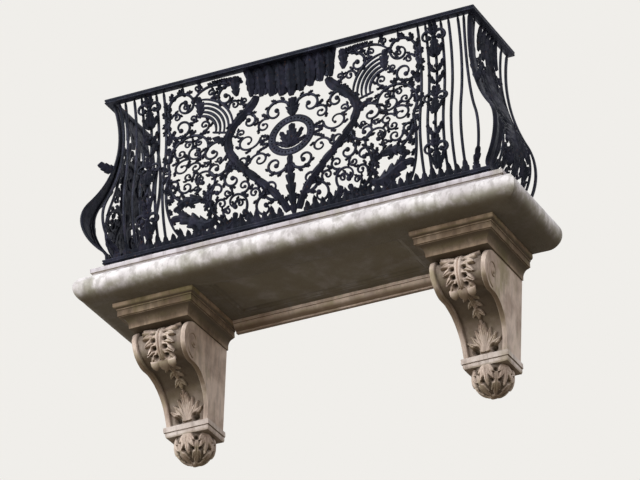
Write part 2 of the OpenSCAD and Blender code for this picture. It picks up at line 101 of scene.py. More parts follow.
class Section(Enum):
    """Cross-sections of the ironwork, as (points round it, squareness)."""

    BAR = (12, 0.5)
    STRAP = (12, 0.62)
    ROD = (10, 1.0)

    def outline(self) -> list[Flat]:
        """Points of the section, from -1 to 1 across and outward."""
        count, power = self.value
        turns = around(count, 0.5)
        return [(soften(math.cos(a), power), soften(math.sin(a), power)) for a in turns]


# --- Paths in a flat sheet ---


def line(a: Flat, b: Flat, count: int) -> Path:
    """A straight path in even steps."""
    return [tuple(a[k] + (b[k] - a[k]) * i / count for k in (0, 1)) for i in range(count + 1)]


def spiral(centre: Flat, start: float, end: float, angle: float, turn: float) -> Path:
    """A spiral whose radius shrinks evenly in proportion.

    Args:
        centre: Middle of the spiral.
        start: Radius at the first point.
        end: Radius at the last point.
        angle: Direction of the first point from the centre.
        turn: Angle wound, anticlockwise if positive.

    Returns:
        The points of the spiral.
    """
    count = max(12, int(abs(turn) / 7))
    path = []
    for i in range(count + 1):
        k = i / count
        radius = start * (end / start) ** k
        a = math.radians(angle + turn * k)
        path.append((centre[0] + radius * math.cos(a), centre[1] + radius * math.sin(a)))
    return path


def curl(start: Flat, centre: Flat, tip: float, turn: float) -> Path:
    """A scroll that leaves a point and winds round a centre down to the radius tip."""
    across, up = start[0] - centre[0], start[1] - centre[1]
    return spiral(centre, math.hypot(across, up), tip, math.degrees(math.atan2(up, across)), turn)


def curve(a: Flat, b: Flat, c: Flat, d: Flat, count: int = 28) -> Path:
    """A cubic curve from a to d that is drawn toward b and c."""
    path = []
    for i in range(count + 1):
        t = i / count
        u = 1 - t
        weights = (u**3, 3 * u * u * t, 3 * u * t * t, t**3)
        path.append(tuple(sum(w * p[k] for w, p in zip(weights, (a, b, c, d))) for k in (0, 1)))
    return path


def lengths(path: Path) -> list[float]:
    """Distance of each point from the start, along the path."""
    run = [0.0]
    for p, q in zip(path, path[1:]):
        run.append(run[-1] + math.dist(p, q))
    return run


def point_at(path: Path, run: Sequence[float], goal: float) -> tuple[Flat, Flat]:
    """The point at a distance along a path, and the heading there."""
    i = 1
    while i < len(run) - 1 and run[i] < goal:
        i += 1
    span = run[i] - run[i - 1] or 1e-9
    k = (goal - run[i - 1]) / span
    p, q = path[i - 1], path[i]
    spot = (p[0] + (q[0] - p[0]) * k, p[1] + (q[1] - p[1]) * k)
    return spot, ((q[0] - p[0]) / span, (q[1] - p[1]) / span)


def even(width: float) -> Width:
    """The same width all along."""
    return lambda k: width


def thinned(width: float, tip: float = 0.55) -> Width:
    """A width that thins toward the end."""
    return lambda k: width * (1 - (1 - tip) * k * k)


def swollen(width: float, ends: float = 0.2) -> Width:
    """A width that swells in the middle, like a blade."""
    return lambda k: width * (ends + (1 - ends) * math.sin(math.pi * k**0.8))


# --- Meshes ---


def hand_over(piece: Piece, slot: str, *nodes: str) -> None:
    """Rides a finished piece on the balcony's one body and hides the CAD nodes that it stands for.
    """
    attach(piece, "root")
    if nodes:
        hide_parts(*nodes)
    LOG.info("%s: %d faces", piece.name, len(piece.data.polygons))


def place_mesh(name: str, mesh: bpy.types.Mesh) -> Piece:
    """Puts a mesh in the scene, at the origin."""
    piece = bpy.data.objects.new(name, mesh)
    bpy.context.scene.collection.objects.link(piece)
    return piece


class Shell:
    """Collects closed skins and turns them into one piece."""

    def __init__(self) -> None:
        """Starts with no points."""
        self.points: list[Vector] = []
        self.faces: list[tuple[int, ...]] = []
        self.hollows: list[float] = []
        self.drawn: Path = []

    def mark(self, spot: Flat, way: Flat, half: float) -> None:
        """Notes the middle and edges of a stroke, so that later strokes keep clear of it."""
        for side in (-1, 0, 1):
            self.drawn.append((spot[0] - way[1] * half * side, spot[1] + way[0] * half * side))

    def skin(
        self,
        rings: Sequence[Sequence[Vector]],
        hollows: Sequence[Sequence[float]] | None = None,
        closed: bool = False,
    ) -> None:
        """Joins rings of equal count into one closed skin.

        Args:
            rings: Rings of points, in order.
            hollows: How deep in a carved hollow each point lies, from 0 to 1.
            closed: True if the last ring joins the first.
        """
        base, count = len(self.points), len(rings[0])
        for row, ring in enumerate(rings):
            self.points.extend(ring)
            self.hollows.extend(hollows[row] if hollows else [0.0] * count)
        steps = len(rings) if closed else len(rings) - 1
        for i in range(steps):
            low, high = base + i * count, base + (i + 1) % len(rings) * count
            for j in range(count):
                k = (j + 1) % count
                self.faces.append((low + j, low + k, high + k, high + j))
        if not closed:
            self.faces.append(tuple(range(base + count - 1, base - 1, -1)))
            top = base + (len(rings) - 1) * count
            self.faces.append(tuple(range(top, top + count)))

    def plate(self, rows: Iterable[Sequence[tuple[Vector, Vector, float]]]) -> None:
        """Skins a thin plate given by rows of (front point, back point, hollow)."""
        rings, hollows = [], []
        for row in rows:
            front, back, depths = zip(*row)
            rings.append(front + back[::-1])
            hollows.append(depths + depths[::-1])
        self.skin(rings, hollows)

    def build(self, name: str, finish: Material, crease: float = 40) -> Piece:
        """Makes the piece, with its faces outward and its sharp edges marked.

        Args:
            name: Name of the piece.
            finish: Its material.
            crease: Edges sharper than this stay sharp.

        Returns:
            The new piece.
        """
        mesh = bpy.data.meshes.new(name)
        mesh.from_pydata(self.points, [], self.faces)
        # The stone finishes paint shade where this hollowness is high.
        mesh.attributes.new("hollow", "FLOAT", "POINT").data.foreach_set("value", self.hollows)
        work = bmesh.new()
        work.from_mesh(mesh)
        bmesh.ops.recalc_face_normals(work, faces=work.faces)
        work.to_mesh(mesh)
        work.free()
        mesh.shade_smooth()
        mesh.set_sharp_from_angle(angle=math.radians(crease))
        mesh.materials.append(finish)
        return place_mesh(name, mesh)

    def deliver(
        self, name: str, finish: Material, slot: str, *nodes: str, crease: float = 40
    ) -> None:
        """Builds the piece and hands it over in the place of its CAD nodes."""
        hand_over(self.build(name, finish, crease), slot, *nodes)


@dataclass(frozen=True)
class Leaf:
    """An acanthus leaf: lobed edges, a raised midrib and a crowned face."""

    lobes: int = 5
    notch: float = 0.42
    crown: float = 7 * MM
    rib: float = 4 * MM
    thick: float = 5 * MM
    sweep: float = 0.5
    columns: int = 10
    lobe_rows: int = 6
    least_half: float = 0.6 * MM

    def grow(self, pen: "Pen", path: Path, width: Width, lift: float = 0.0) -> None:
        """Grows the leaf along a path.

        Args:
            pen: Where it is drawn.
            path: The midrib, from root to tip.
            width: Width along the midrib, before the lobes are cut.
            lift: Distance of its back out of the sheet.
        """
        run = lengths(path)
        count = self.lobes * self.lobe_rows
        rows = []
        for i in range(count + 1):
            k = i / count
            spot, way = point_at(path, run, run[-1] * k)
            phase = (k * self.lobes) % 1 if i < count else 1.0
            lobe = math.sin(math.pi * phase**1.5) ** 0.7 if 0 < phase < 1 else 0.0
            half = width(k) / 2 * (1 - self.notch * (1 - lobe)) + self.least_half
            pen.shell.mark(spot, way, half)
            row = []
            for j in range(self.columns + 1):
                u = 2 * j / self.columns - 1
                ahead = self.sweep * half * abs(u) ** 1.5 * (0.4 + 0.6 * lobe)
                s = spot[0] - way[1] * half * u + way[0] * ahead
                z = spot[1] + way[0] * half * u + way[1] * ahead
                valley = (1 - lobe) * abs(u)
                rise = self.crown * (1 - u * u) * min(1.0, 4 * half / 0.02)
                rise += self.rib * math.exp(-((u / 0.16) ** 2)) - self.crown * 0.6 * valley
                out = self.thick * (0.35 + 0.65 * (1 - abs(u) ** 3)) / 2
                front = pen.place(s, z, lift + out + rise * 0.8)
                back = pen.place(s, z, lift - out + rise * 0.35)
                row.append((front, back, min(1.0, 1.3 * valley)))
            rows.append(row)
        pen.shell.plate(rows)


TINY_LEAF = Leaf(lobes=2, crown=5 * MM, notch=0.35, columns=4)
SMALL_LEAF = Leaf(lobes=3, crown=5 * MM, notch=0.35, columns=6)
BIG_LEAF = Leaf(lobes=5, crown=10 * MM, notch=0.38)
PALM_LEAF = Leaf(lobes=6, crown=9 * MM, notch=0.2, rib=5 * MM)
FOOT_LEAF = Leaf(lobes=2, crown=5 * MM, notch=0.16, sweep=0.3, columns=6)
TONGUE = Leaf(lobes=4, crown=8 * MM, notch=0.14, rib=5 * MM, sweep=0.25)
BUD_LEAF = Leaf(lobes=4, crown=8 * MM, notch=0.3, rib=5 * MM, thick=6 * MM)
BAND_LEAF = Leaf(lobes=10, crown=9 * MM, notch=0.25, rib=5 * MM, sweep=0.4)
STEM_LEAF = Leaf(lobes=6, crown=9 * MM)
TIP_LEAF = Leaf(lobes=3, crown=5 * MM, notch=0.15, thick=10 * MM)
FOLDED_LEAF = Leaf(lobes=8, crown=4 * MM, notch=0.3, rib=2 * MM, columns=14)


@dataclass(frozen=True)
class Tendril:
    """A small curl in a free spot: it springs from the nearest stroke and winds round the spot."""

    root: Flat
    centre: Flat
    turn: float

    @property
    def reach(self) -> float:
        """Distance from its root to its centre."""
        return math.dist(self.root, self.centre)

    def path(self) -> Path:
        """The curl, from its root to its eye."""
        return curl(self.root, self.centre, max(7 * MM, self.reach * 0.24), self.turn)


def tendrils(
    drawn: Sequence[Flat], inside: Callable[[float, float], float], area: Sequence[float]
) -> list[Tendril]:
    """Finds small curls that fill what earlier strokes leave open, largest gap first.

    Args:
        drawn: Points of the strokes that are there already.
        inside: Least free radius worth filling at a point. One or more closes it.
        area: Low and high end across, and low and high end in height, to look at.

    Returns:
        The curls.
    """
    pitch, half_rod, most, turn = 9 * MM, 6 * MM, 90, 430.0
    spots = []
    for i in range(int((area[1] - area[0]) / pitch) + 1):
        for j in range(int((area[3] - area[2]) / pitch) + 1):
            x, z = area[0] + i * pitch, area[2] + j * pitch
            if inside(x, z) < 1.0:
                spots.append((x, z))
    taken, found = list(drawn), []
    while len(found) < most:
        tree = kdtree.KDTree(len(taken))
        for i, (x, z) in enumerate(taken):
            tree.insert((x, z, 0.0), i)
        tree.balance()
        best, room = None, 1.0
        for x, z in spots:
            near, _, gap = tree.find((x, z, 0.0))
            if gap / inside(x, z) > room:
                best, room = (near, (x, z)), gap / inside(x, z)
        if best is None:
            break
        near, centre = best
        found.append(Tendril((near.x, near.y), centre, turn if len(found) % 2 else -turn))
        for x, z in found[-1].path():
            taken += [(x, z), (x + half_rod, z), (x - half_rod, z)]
            taken += [(x, z + half_rod), (x, z - half_rod)]
    return found


@dataclass(frozen=True)
class Pen:
    """Draws ironwork into one shell, in one sheet.

    The sheet turns a point in it and a distance out of it into a place.
    """

    shell: Shell
    place: Place
    strap_w: float = 17 * MM
    strap_t: float = 12 * MM

    def bar(
        self,
        path: Path,
        width: Width,
        depth: float | None = None,
        section: Section = Section.STRAP,
        step: float = 8 * MM,
    ) -> None:
        """Sweeps a bar with blunt ends along a path.

        Args:
            path: Its middle line.
            width: Width along the path.
            depth: Thickness across the sheet, a strap's if it isn't given.
            section: Cross-section.
            step: Greatest distance between two sections.
        """
        run = lengths(path)
        blunt = width(0.5) * 0.5
        count = max(4, int(run[-1] / step))
        stops = [0.0, blunt * 0.25] + [run[-1] * i / count for i in range(count + 1)]
        stops += [run[-1] - blunt * 0.25, run[-1]]
        outline = section.outline()
        rings = []
        for at in sorted(set(stops)):
            spot, way = point_at(path, run, at)
            edge = min(at, run[-1] - at) / blunt
            full = math.sqrt(max(0.06, 1 - max(0.0, 1 - edge) ** 2))
            half, out = width(at / run[-1]) / 2 * full, (depth or self.strap_t) / 2 * full
            self.shell.mark(spot, way, half)
            rings.append(
                [
                    self.place(spot[0] - way[1] * half * a, spot[1] + way[0] * half * a, out * b)
                    for a, b in outline
                ]
            )
        self.shell.skin(rings)

    def hoop(self, centre: Flat, radius: float, width: float) -> None:
        """A closed ring of strap round a centre."""
        rings = []
        for t in around(72):
            x, z = math.cos(t), math.sin(t)
            self.shell.mark((centre[0] + radius * x, centre[1] + radius * z), (-z, x), width / 2)
            ring = []
            for a, b in Section.STRAP.outline():
                r = radius + width / 2 * a
                ring.append(self.place(centre[0] + r * x, centre[1] + r * z, self.strap_t / 2 * b))
            rings.append(ring)
        self.shell.skin(rings, closed=True)

    def eye(self, centre: Flat, radius: float, depth: float = 0.8) -> None:
        """The round bud that ends a scroll, domed on both sides."""
        rings = []
        for a in (math.pi * i / 8 - math.pi / 2 for i in range(1, 8)):
            r, out = radius * math.cos(a), radius * depth * math.sin(a)
            rings.append(
                [
                    self.place(centre[0] + r * math.cos(t), centre[1] + r * math.sin(t), out)
                    for t in around(14)
                ]
            )
        self.shell.skin(rings)

    def husk(
        self,
        leaf: Leaf,
        root: Flat,
        aim: float,
        size: float,
        bend: float = 0.0,
        share: float = 0.46,
        lift: float = 0.0,
    ) -> None:
        """A single leaf that springs from a point.

        Args:
            leaf: Its form.
            root: Where it springs.
            aim: Its direction.
            size: Its length.
            bend: How far it turns along its length.
            share: Its width over its length.
            lift: Distance of its back out of the sheet.
        """
        path = [root]
        for i in range(12):
            a = math.radians(aim + bend * (i + 0.5) / 12)
            x, z = path[-1]
            path.append((x + size / 12 * math.cos(a), z + size / 12 * math.sin(a)))
        leaf.grow(self, path, swollen(size * share, 0.4), lift)

    def fringe(
        self,
        path: Path,
        side: int,
        span: Flat,
        count: int,
        size: float,
        leaf: Leaf = SMALL_LEAF,
    ) -> None:
        """Leaves that spring from one edge of a scroll and lean along it.

        Args:
            path: The scroll.
            side: 1 for the left edge of the path, -1 for the right.
            span: First and last share of the path that carries leaves.
            count: Number of leaves.
            size: Length of the longest leaf.
            leaf: Their form.
        """
        run = lengths(path)
        for i in range(count):
            k = span[0] + (span[1] - span[0]) * i / max(1, count - 1)
            root, way = point_at(path, run, run[-1] * k)
            long = size * (1 - 0.4 * i / count)
            aim = math.degrees(math.atan2(way[1], way[0])) + side * 58
            self.husk(leaf, root, aim, long, -side * 62, 0.62, (i % 2) * 2 * MM)

    def scroll(self, path: Path, turn: float, leaves: int = 0, size: float = 50 * MM) -> None:
        """A strap that thins along its path, ends in a bud and carries leaves.

        Args:
            path: The scroll.
            turn: Above zero if it winds anticlockwise.
            leaves: Number of leaves along its outer edge.
            size: Length of the longest leaf.
        """
        side = 1 if turn > 0 else -1
        self.bar(path, thinned(self.strap_w))
        self.eye(path[-1], self.strap_w * 0.8)
        if leaves:
            self.fringe(path, -side, (0.03, 0.55), leaves, size)
            self.fringe(path, side, (0.1, 0.4), max(2, leaves // 2), size * 0.6)

    def curls(self, rows: Iterable[Sequence[object]]) -> None:
        """Draws scrolls given as (start, centre, end radius, turn, leaves, leaf size)."""
        for start, centre, tip, turn, leaves, size in rows:
            self.scroll(curl(start, centre, tip, turn), turn, leaves, size)

    def thicket(self, found: Iterable[Tendril], width: float) -> None:
        """Draws small curls, each with its eye and a few leaves."""
        for one in found:
            path = one.path()
            self.bar(path, thinned(width, 0.6), self.strap_t * 0.9, Section.ROD, 7 * MM)
            self.eye(path[-1], width * 0.62)
            size = min(46 * MM, one.reach * 0.95)
            self.fringe(path, -1 if one.turn > 0 else 1, (0.06, 0.5), 3, size, TINY_LEAF)


# --- Finishes ---


def add_node(
    tree: Tree, kind: str, inputs: dict[str | int, object] | None = None, **settings: object
) -> bpy.types.Node:
    """Adds a node with its settings and links.

    Args:
        tree: The tree that gets the node.
        kind: Type name of the node.
        inputs: Values of its inputs, or the sockets that feed them.
        **settings: Properties of the node.

    Returns:
        The node.
    """
    made = tree.nodes.new(kind)
    for key, value in settings.items():
        setattr(made, key, value)
    for key, value in (inputs or {}).items():
        if isinstance(value, Socket):
            tree.links.new(value, made.inputs[key])
        else:
            made.inputs[key].default_value = value
    return made


def watched(tree: Tree) -> Socket:
    """1 for rays that show the backdrop: the camera's, reflected and transmitted ones."""
    rays = add_node(tree, "ShaderNodeLightPath").outputs
    seen = rays["Is Camera Ray"]
    for kind in ("Is Glossy Ray", "Is Transmission Ray"):
        pair = {0: seen, 1: rays[kind]}
        seen = add_node(tree, "ShaderNodeMath", pair, operation="MAXIMUM").outputs[0]
    return seen


def linear(code: str) -> tuple[float, float, float, float]:
    """Turns an sRGB hex colour into a linear one."""
    channels = [int(code[i : i + 2], 16) / 255 for i in (1, 3, 5)]
    red, green, blue = (
        c / 12.92 if c <= 0.04045 else ((c + 0.055) / 1.055) ** 2.4 for c in channels
    )
    return red, green, blue, 1.0


class Pattern(Enum):
    """What a mask reads: noise, scattered points, how far up a face looks, carved hollows
    or the rays that show the backdrop."""

    NOISE = 0
    CELLS = 1
    FACING = 2
    HOLLOW = 3
    SEEN = 4


@dataclass(frozen=True)
class Mask:
    """Where a layer shows: a pattern, stretched from low to high so that it runs base to top.

    Size is the width of the pattern's lumps in metres, and a drip below 1 draws them down.
    """

    low: float = 0.0
    high: float = 1.0
    top: float = 1.0
    base: float = 0.0
    pattern: Pattern = Pattern.NOISE
    size: float = 1.0
    detail: float = 4.0
    drip: float = 1.0
    smooth: bool = True

    def source(self, tree: Tree) -> Socket:
        """Adds the nodes that read the pattern."""
        if self.pattern is Pattern.SEEN:
            return watched(tree)
        if self.pattern is Pattern.HOLLOW:
            return add_node(tree, "ShaderNodeAttribute", attribute_name="hollow").outputs["Fac"]
        if self.pattern is Pattern.FACING:
            normal = add_node(tree, "ShaderNodeNewGeometry").outputs["Normal"]
            return add_node(tree, "ShaderNodeSeparateXYZ", {0: normal}).outputs["Z"]
        spot = add_node(tree, "ShaderNodeTexCoord").outputs["Object"]
        drawn = add_node(tree, "ShaderNodeMapping", {"Vector": spot, "Scale": (1, 1, self.drip)})
        inputs = {"Vector": drawn.outputs[0], "Scale": 1 / self.size}
        if self.pattern is Pattern.CELLS:
            return add_node(tree, "ShaderNodeTexVoronoi", inputs).outputs["Distance"]
        inputs |= {"Detail": self.detail, "Roughness": 0.6}
        return add_node(tree, "ShaderNodeTexNoise", inputs).outputs[0]

    def reading(self, tree: Tree) -> Socket:
        """Adds the pattern and stretches it."""
        inputs = {"Value": self.source(tree), "From Min": self.low, "From Max": self.high}
        inputs |= {"To Min": self.base, "To Max": self.top}
        how = "SMOOTHSTEP" if self.smooth else "LINEAR"
        return add_node(tree, "ShaderNodeMapRange", inputs, interpolation_type=how).outputs[0]


def overlap(tree: Tree, masks: Sequence[Mask]) -> Socket:
    """Adds masks that all have to show, multiplied together."""
    value = masks[0].reading(tree)
    for mask in masks[1:]:
        pair = {0: value, 1: mask.reading(tree)}
        made = add_node(tree, "ShaderNodeMath", pair, operation="MULTIPLY", use_clamp=True)
        value = made.outputs[0]
    return value


@dataclass(frozen=True)
class Finish:
    """A procedural finish on Object coordinates.

    Layers of (colour, masks) lie over the ground in order. The bump is a product of masks,
    relief metres high. Shader holds the values that are the same all over.
    """

    name: str
    ground: str
    layers: Sequence[tuple[str, Sequence[Mask]]]
    rough: Mask
    bump: Sequence[Mask]
    relief: float
    shader: Sequence[tuple[str, object]] = ()

    def material(self) -> Material:
        """Builds the material."""
        made = bpy.data.materials.new(self.name)
        made.use_nodes = True
        tree = made.node_tree
        tree.nodes.clear()
        colour = linear(self.ground)
        for over, masks in self.layers:
            inputs = {0: overlap(tree, masks), 6: colour, 7: linear(over)}
            colour = add_node(tree, "ShaderNodeMix", inputs, data_type="RGBA").outputs[2]
        inputs = {"Height": overlap(tree, self.bump), "Distance": self.relief, "Strength": 0.8}
        bump = add_node(tree, "ShaderNodeBump", inputs)
        inputs = {"Base Color": colour, "Roughness": self.rough.reading(tree)}
        inputs |= {"Normal": bump.outputs[0]} | dict(self.shader)
        shader = add_node(tree, "ShaderNodeBsdfPrincipled", inputs)
        add_node(tree, "ShaderNodeOutputMaterial", {"Surface": shader.outputs[0]})
        return made


# Wrought iron under old black oil paint, laid on by brush. It gives the eye a dull blue-black
# with a violet bloom, rust specks, and pale dust on what faces up. Bloom lies in patches as
# wide as a brush load. Real rust specks are 2 to 5 mm wide and brush marks 1 mm: both are
# drawn coarser, so that they show.
PAINTED_IRON = Finish(
    name="painted_wrought_iron",
    ground="#111218",
    layers=(
        ("#24232f", [Mask(0.42, 0.66, size=90 * MM)]),
        ("#46301f", [Mask(0.6, 0.72, 0.75, size=14 * MM)]),
        ("#4a4740", [Mask(0.6, 0.98, 0.45, pattern=Pattern.FACING)]),
    ),
    rough=Mask(0.3, 0.7, 0.62, 0.36, size=30 * MM),
    bump=[Mask(size=5 * MM, smooth=False)],
    relief=1.2 * MM,
    shader=(
        ("Metallic", 0.2),
        ("Specular IOR Level", 0.27),
        # The blue specular tint is a painted reflection: it turns the pale backdrop seen in the
        # gloss into a blue sky.
        ("Specular Tint", linear("#b9c6e6")),
    ),
)

# A matt, even floor. It throws back only a dim warm light, as a street does.
PLAIN_FLOOR = Finish(
    name="plain_floor",
    ground="#efede9",
    layers=(
        ("#e6e3de", [Mask(0.3, 0.7, 0.3, size=2.0)]),
        ("#5f5242", [Mask(1.0, 0.0, pattern=Pattern.SEEN, smooth=False)]),
    ),
    rough=Mask(0.3, 0.7, 0.85, 0.75, size=0.3),
    bump=[Mask(size=20 * MM, smooth=False)],
    relief=1 * MM,
)


@dataclass(frozen=True)
class Limestone:
    """Tooled limestone that has weathered: pale where rain runs, with painted shade in hollows and
    below.

    Clouds are as wide as the stone's beds, runs as wide as a drip, and stains as wide as
    what drips from a baluster. Grain and shell pits are 0.5 to 3 mm wide in the real stone,
    and are drawn 6 and 11 mm wide, so that they show.
    """

    name: str
    pale: str
    deep: str
    soot: str
    moss_and_shade: str
    underside_shade: str
    streaks: float = 0.6
    drip: float = 0.1
    shade_from: float = -0.1
    shade: float = 0.55
    hollow: str = "#2f2412"

    def material(self) -> Material:
        """Builds the material: clouds, stains, runs, then painted shade on what faces down and in
        hollows.
        """
        up = Pattern.FACING
        shoulder = Mask(self.shade_from, -0.5, self.shade, pattern=up)
        layers = (
            (self.deep, [Mask(0.38, 0.64, size=160 * MM, detail=6)]),
            (self.moss_and_shade, [Mask(0.52, 0.7, 0.7, size=210 * MM, detail=5, drip=0.6)]),
            (
                self.soot,
                [Mask(0.46, 0.62, self.streaks, size=38 * MM, detail=5, drip=self.drip)],
            ),
            # Painted shade, partly real olive staining: faces that turn down darken toward the
            # olive colour.
            (self.moss_and_shade, [shoulder, Mask(0.34, 0.6, size=90 * MM, detail=6)]),
            # Painted shade: faces that look down take the dark brown colour, broken a little by
            # noise.
            (
                self.underside_shade,
                [
                    Mask(-0.3, -0.85, pattern=up),
                    Mask(0.35, 0.65, base=0.86, size=170 * MM, detail=6),
                ],
            ),
            # Painted shade in carved hollows, recesses and drill holes, read from the hollow
            # attribute.
            (self.hollow, [Mask(top=0.92, pattern=Pattern.HOLLOW, smooth=False)]),
        )
        grain = Mask(size=6 * MM, detail=8, smooth=False)
        pits = Mask(0.05, 0.3, pattern=Pattern.CELLS, size=11 * MM)
        rough = Mask(0.2, 0.8, 0.95, 0.75, size=6 * MM, detail=8)
        return Finish(self.name, self.pale, layers, rough, [grain, pits], 1.6 * MM).material()


# The consoles and the bed moulding: warm buff stone, stained olive, with faint runs.
WEATHERED_STONE = Limestone(
    "weathered_limestone", "#dccbbd", "#b7a394", "#77685c", "#978e69", "#6a5844", 0.34, 0.22
)
# The console caps: a darker, browner copy of the stone, as painted shade from the landing above.
SHADED_CAP_STONE = Limestone(
    "shaded_cap_limestone", "#ad9881", "#816d58", "#544637", "#716b3e", "#4c3d29", 0.4, 0.3
)
# The bands at the consoles' feet, which drips keep a little paler.
BAND_STONE = Limestone(
    "band_limestone", "#ddd2ca", "#c0b1a6", "#7a6d63", "#a0967a", "#6a5b49", 0.4
)
# The landing: pale, rain-bleached stone, with olive and brown painted shade where its round edge
# turns under, partly real staining.
WASHED_STONE = Limestone(
    "washed_limestone", "#e6e2e1", "#c9c3c3", "#857e79", "#7d7a62", "#564c38", 0.45, 0.5, 0.25, 0.8
)
# The step under the railing: a cool grey with a violet cast, from the paint that washes down.
STEP_STONE = Limestone(
    "rain_washed_step", "#cdc8cc", "#b4adb1", "#84797a", "#a49f8e", "#6d5f50", 0.45
)


# --- Geometry trees ---


def run_tree(host: Piece, tree: Tree, values: dict[str, float], name: str) -> Piece:
    """Runs a geometry tree on a host and keeps the result as a plain mesh.

    Args:
        host: The object that the tree starts from. It is removed.
        tree: The geometry tree.
        values: Values of the tree's named inputs.
        name: Name of the new piece.

    Returns:
        The new piece.
    """
    modifier = host.modifiers.new("repeat", "NODES")
    modifier.node_group = tree
    for item in tree.interface.items_tree:
        if item.item_type == "SOCKET" and item.in_out == "INPUT" and item.name in values:
            modifier[item.identifier] = values[item.name]
    bpy.context.view_layer.update()
    ready = host.evaluated_get(bpy.context.evaluated_depsgraph_get())
    mesh = bpy.data.meshes.new_from_object(ready)
    mesh.name = name
    piece = place_mesh(name, mesh)
    host.modifiers.remove(modifier)
    bpy.data.objects.remove(host)
    return piece


def start_tree(name: str, sizes: Iterable[tuple[str, str]]) -> tuple[Tree, bpy.types.Node]:
    """Starts a geometry tree with a geometry input and named sizes of (name, kind)."""
    tree = bpy.data.node_groups.new(name, "GeometryNodeTree")
    for label, kind in (("Geometry", "Geometry"), *sizes):
        tree.interface.new_socket(name=label, in_out="INPUT", socket_type=f"NodeSocket{kind}")
    tree.interface.new_socket(
        name="Geometry", in_out="OUTPUT", socket_type="NodeSocketGeometry"
    )
    return tree, add_node(tree, "NodeGroupInput")


def end_tree(tree: Tree, points: Socket, instance: Socket, finish: Material) -> Tree:
    """Puts an instance on each point, and ends in Realize Instances and Set Material."""
    copies = add_node(
        tree, "GeometryNodeInstanceOnPoints", {"Points": points, "Instance": instance}
    )
    real = add_node(tree, "GeometryNodeRealizeInstances", {0: copies.outputs[0]})
    smooth = add_node(tree, "GeometryNodeSetShadeSmooth", {0: real.outputs[0]})
    dressed = add_node(
        tree, "GeometryNodeSetMaterial", {"Geometry": smooth.outputs[0], "Material": finish}
    )
    add_node(tree, "NodeGroupOutput", {0: dressed.outputs[0]})
    return tree


def row_tree(finish: Material) -> Tree:
    """A tree that repeats its host in a straight row along X."""
    tree, given = start_tree("bar_row", [("Count", "Int"), ("Pitch", "Float")])
    offset = add_node(tree, "ShaderNodeCombineXYZ", {"X": given.outputs["Pitch"]})
    inputs = {"Count": given.outputs["Count"], "Offset": offset.outputs[0]}
    row = add_node(tree, "GeometryNodeMeshLine", inputs, mode="OFFSET")
    return end_tree(tree, row.outputs[0], given.outputs["Geometry"], finish)


def bead_tree(finish: Material) -> Tree:
    """A tree that strings round beads along the edges of its host."""
    tree, given = start_tree("bead_string", [("Radius", "Float"), ("Pitch", "Float")])
    path = add_node(tree, "GeometryNodeMeshToCurve", {0: given.outputs["Geometry"]})
    inputs = {"Curve": path.outputs[0], "Length": given.outputs["Pitch"]}
    points = add_node(tree, "GeometryNodeCurveToPoints", inputs, mode="LENGTH")
    inputs = {"Segments": 8, "Rings": 6, "Radius": given.outputs["Radius"]}
    bead = add_node(tree, "GeometryNodeMeshUVSphere", inputs)
    return end_tree(tree, points.outputs[0], bead.outputs[0], finish)


def wire(points: Sequence[Vector], name: str) -> Piece:
    """A host of bare edges from point to point."""
    mesh = bpy.data.meshes.new(name)
    mesh.from_pydata(points, [(i, i + 1) for i in range(len(points) - 1)], [])
    return place_mesh(name, mesh)


# --- The bellied sheets ---


@dataclass(frozen=True)
class Form:
    """One bellied outline: three tangent arcs on a straight foot, out from the handrail edge."""

    neck: float
    belly: float
    hand_z: float
    top_in: float = 36 * MM
    foot_out: float = 14 * MM
    neck_z: float = 770 * MM
    belly_z: float = 250 * MM
    foot_z: float = 80 * MM

    @staticmethod
    def sagitta(height: float, depth: float) -> float:
        """Radius of an arc that moves out by depth over a height."""
        return (height * height + depth * depth) / (2 * depth)

    def swell(self, z: float) -> float:
        """Distance out from the handrail edge at a height above the step."""
        neck_r = self.sagitta(self.hand_z - self.neck_z, self.neck - self.top_in)
        both = self.sagitta(self.neck_z - self.belly_z, self.belly + self.neck)
        belly_r = both - neck_r
        turn_z = self.belly_z + belly_r * (self.neck_z - self.belly_z) / both
        if z > turn_z:
            rest = max(0.0, neck_r**2 - (z - self.neck_z) ** 2)
            return neck_r - self.neck - math.sqrt(rest)
        if z <= self.foot_z:
            return self.foot_out
        foot_r = self.sagitta(self.belly_z - self.foot_z, self.belly - self.foot_out)
        r = belly_r if z > self.belly_z else foot_r
        return self.belly - r + math.sqrt(r**2 - (z - self.belly_z) ** 2)


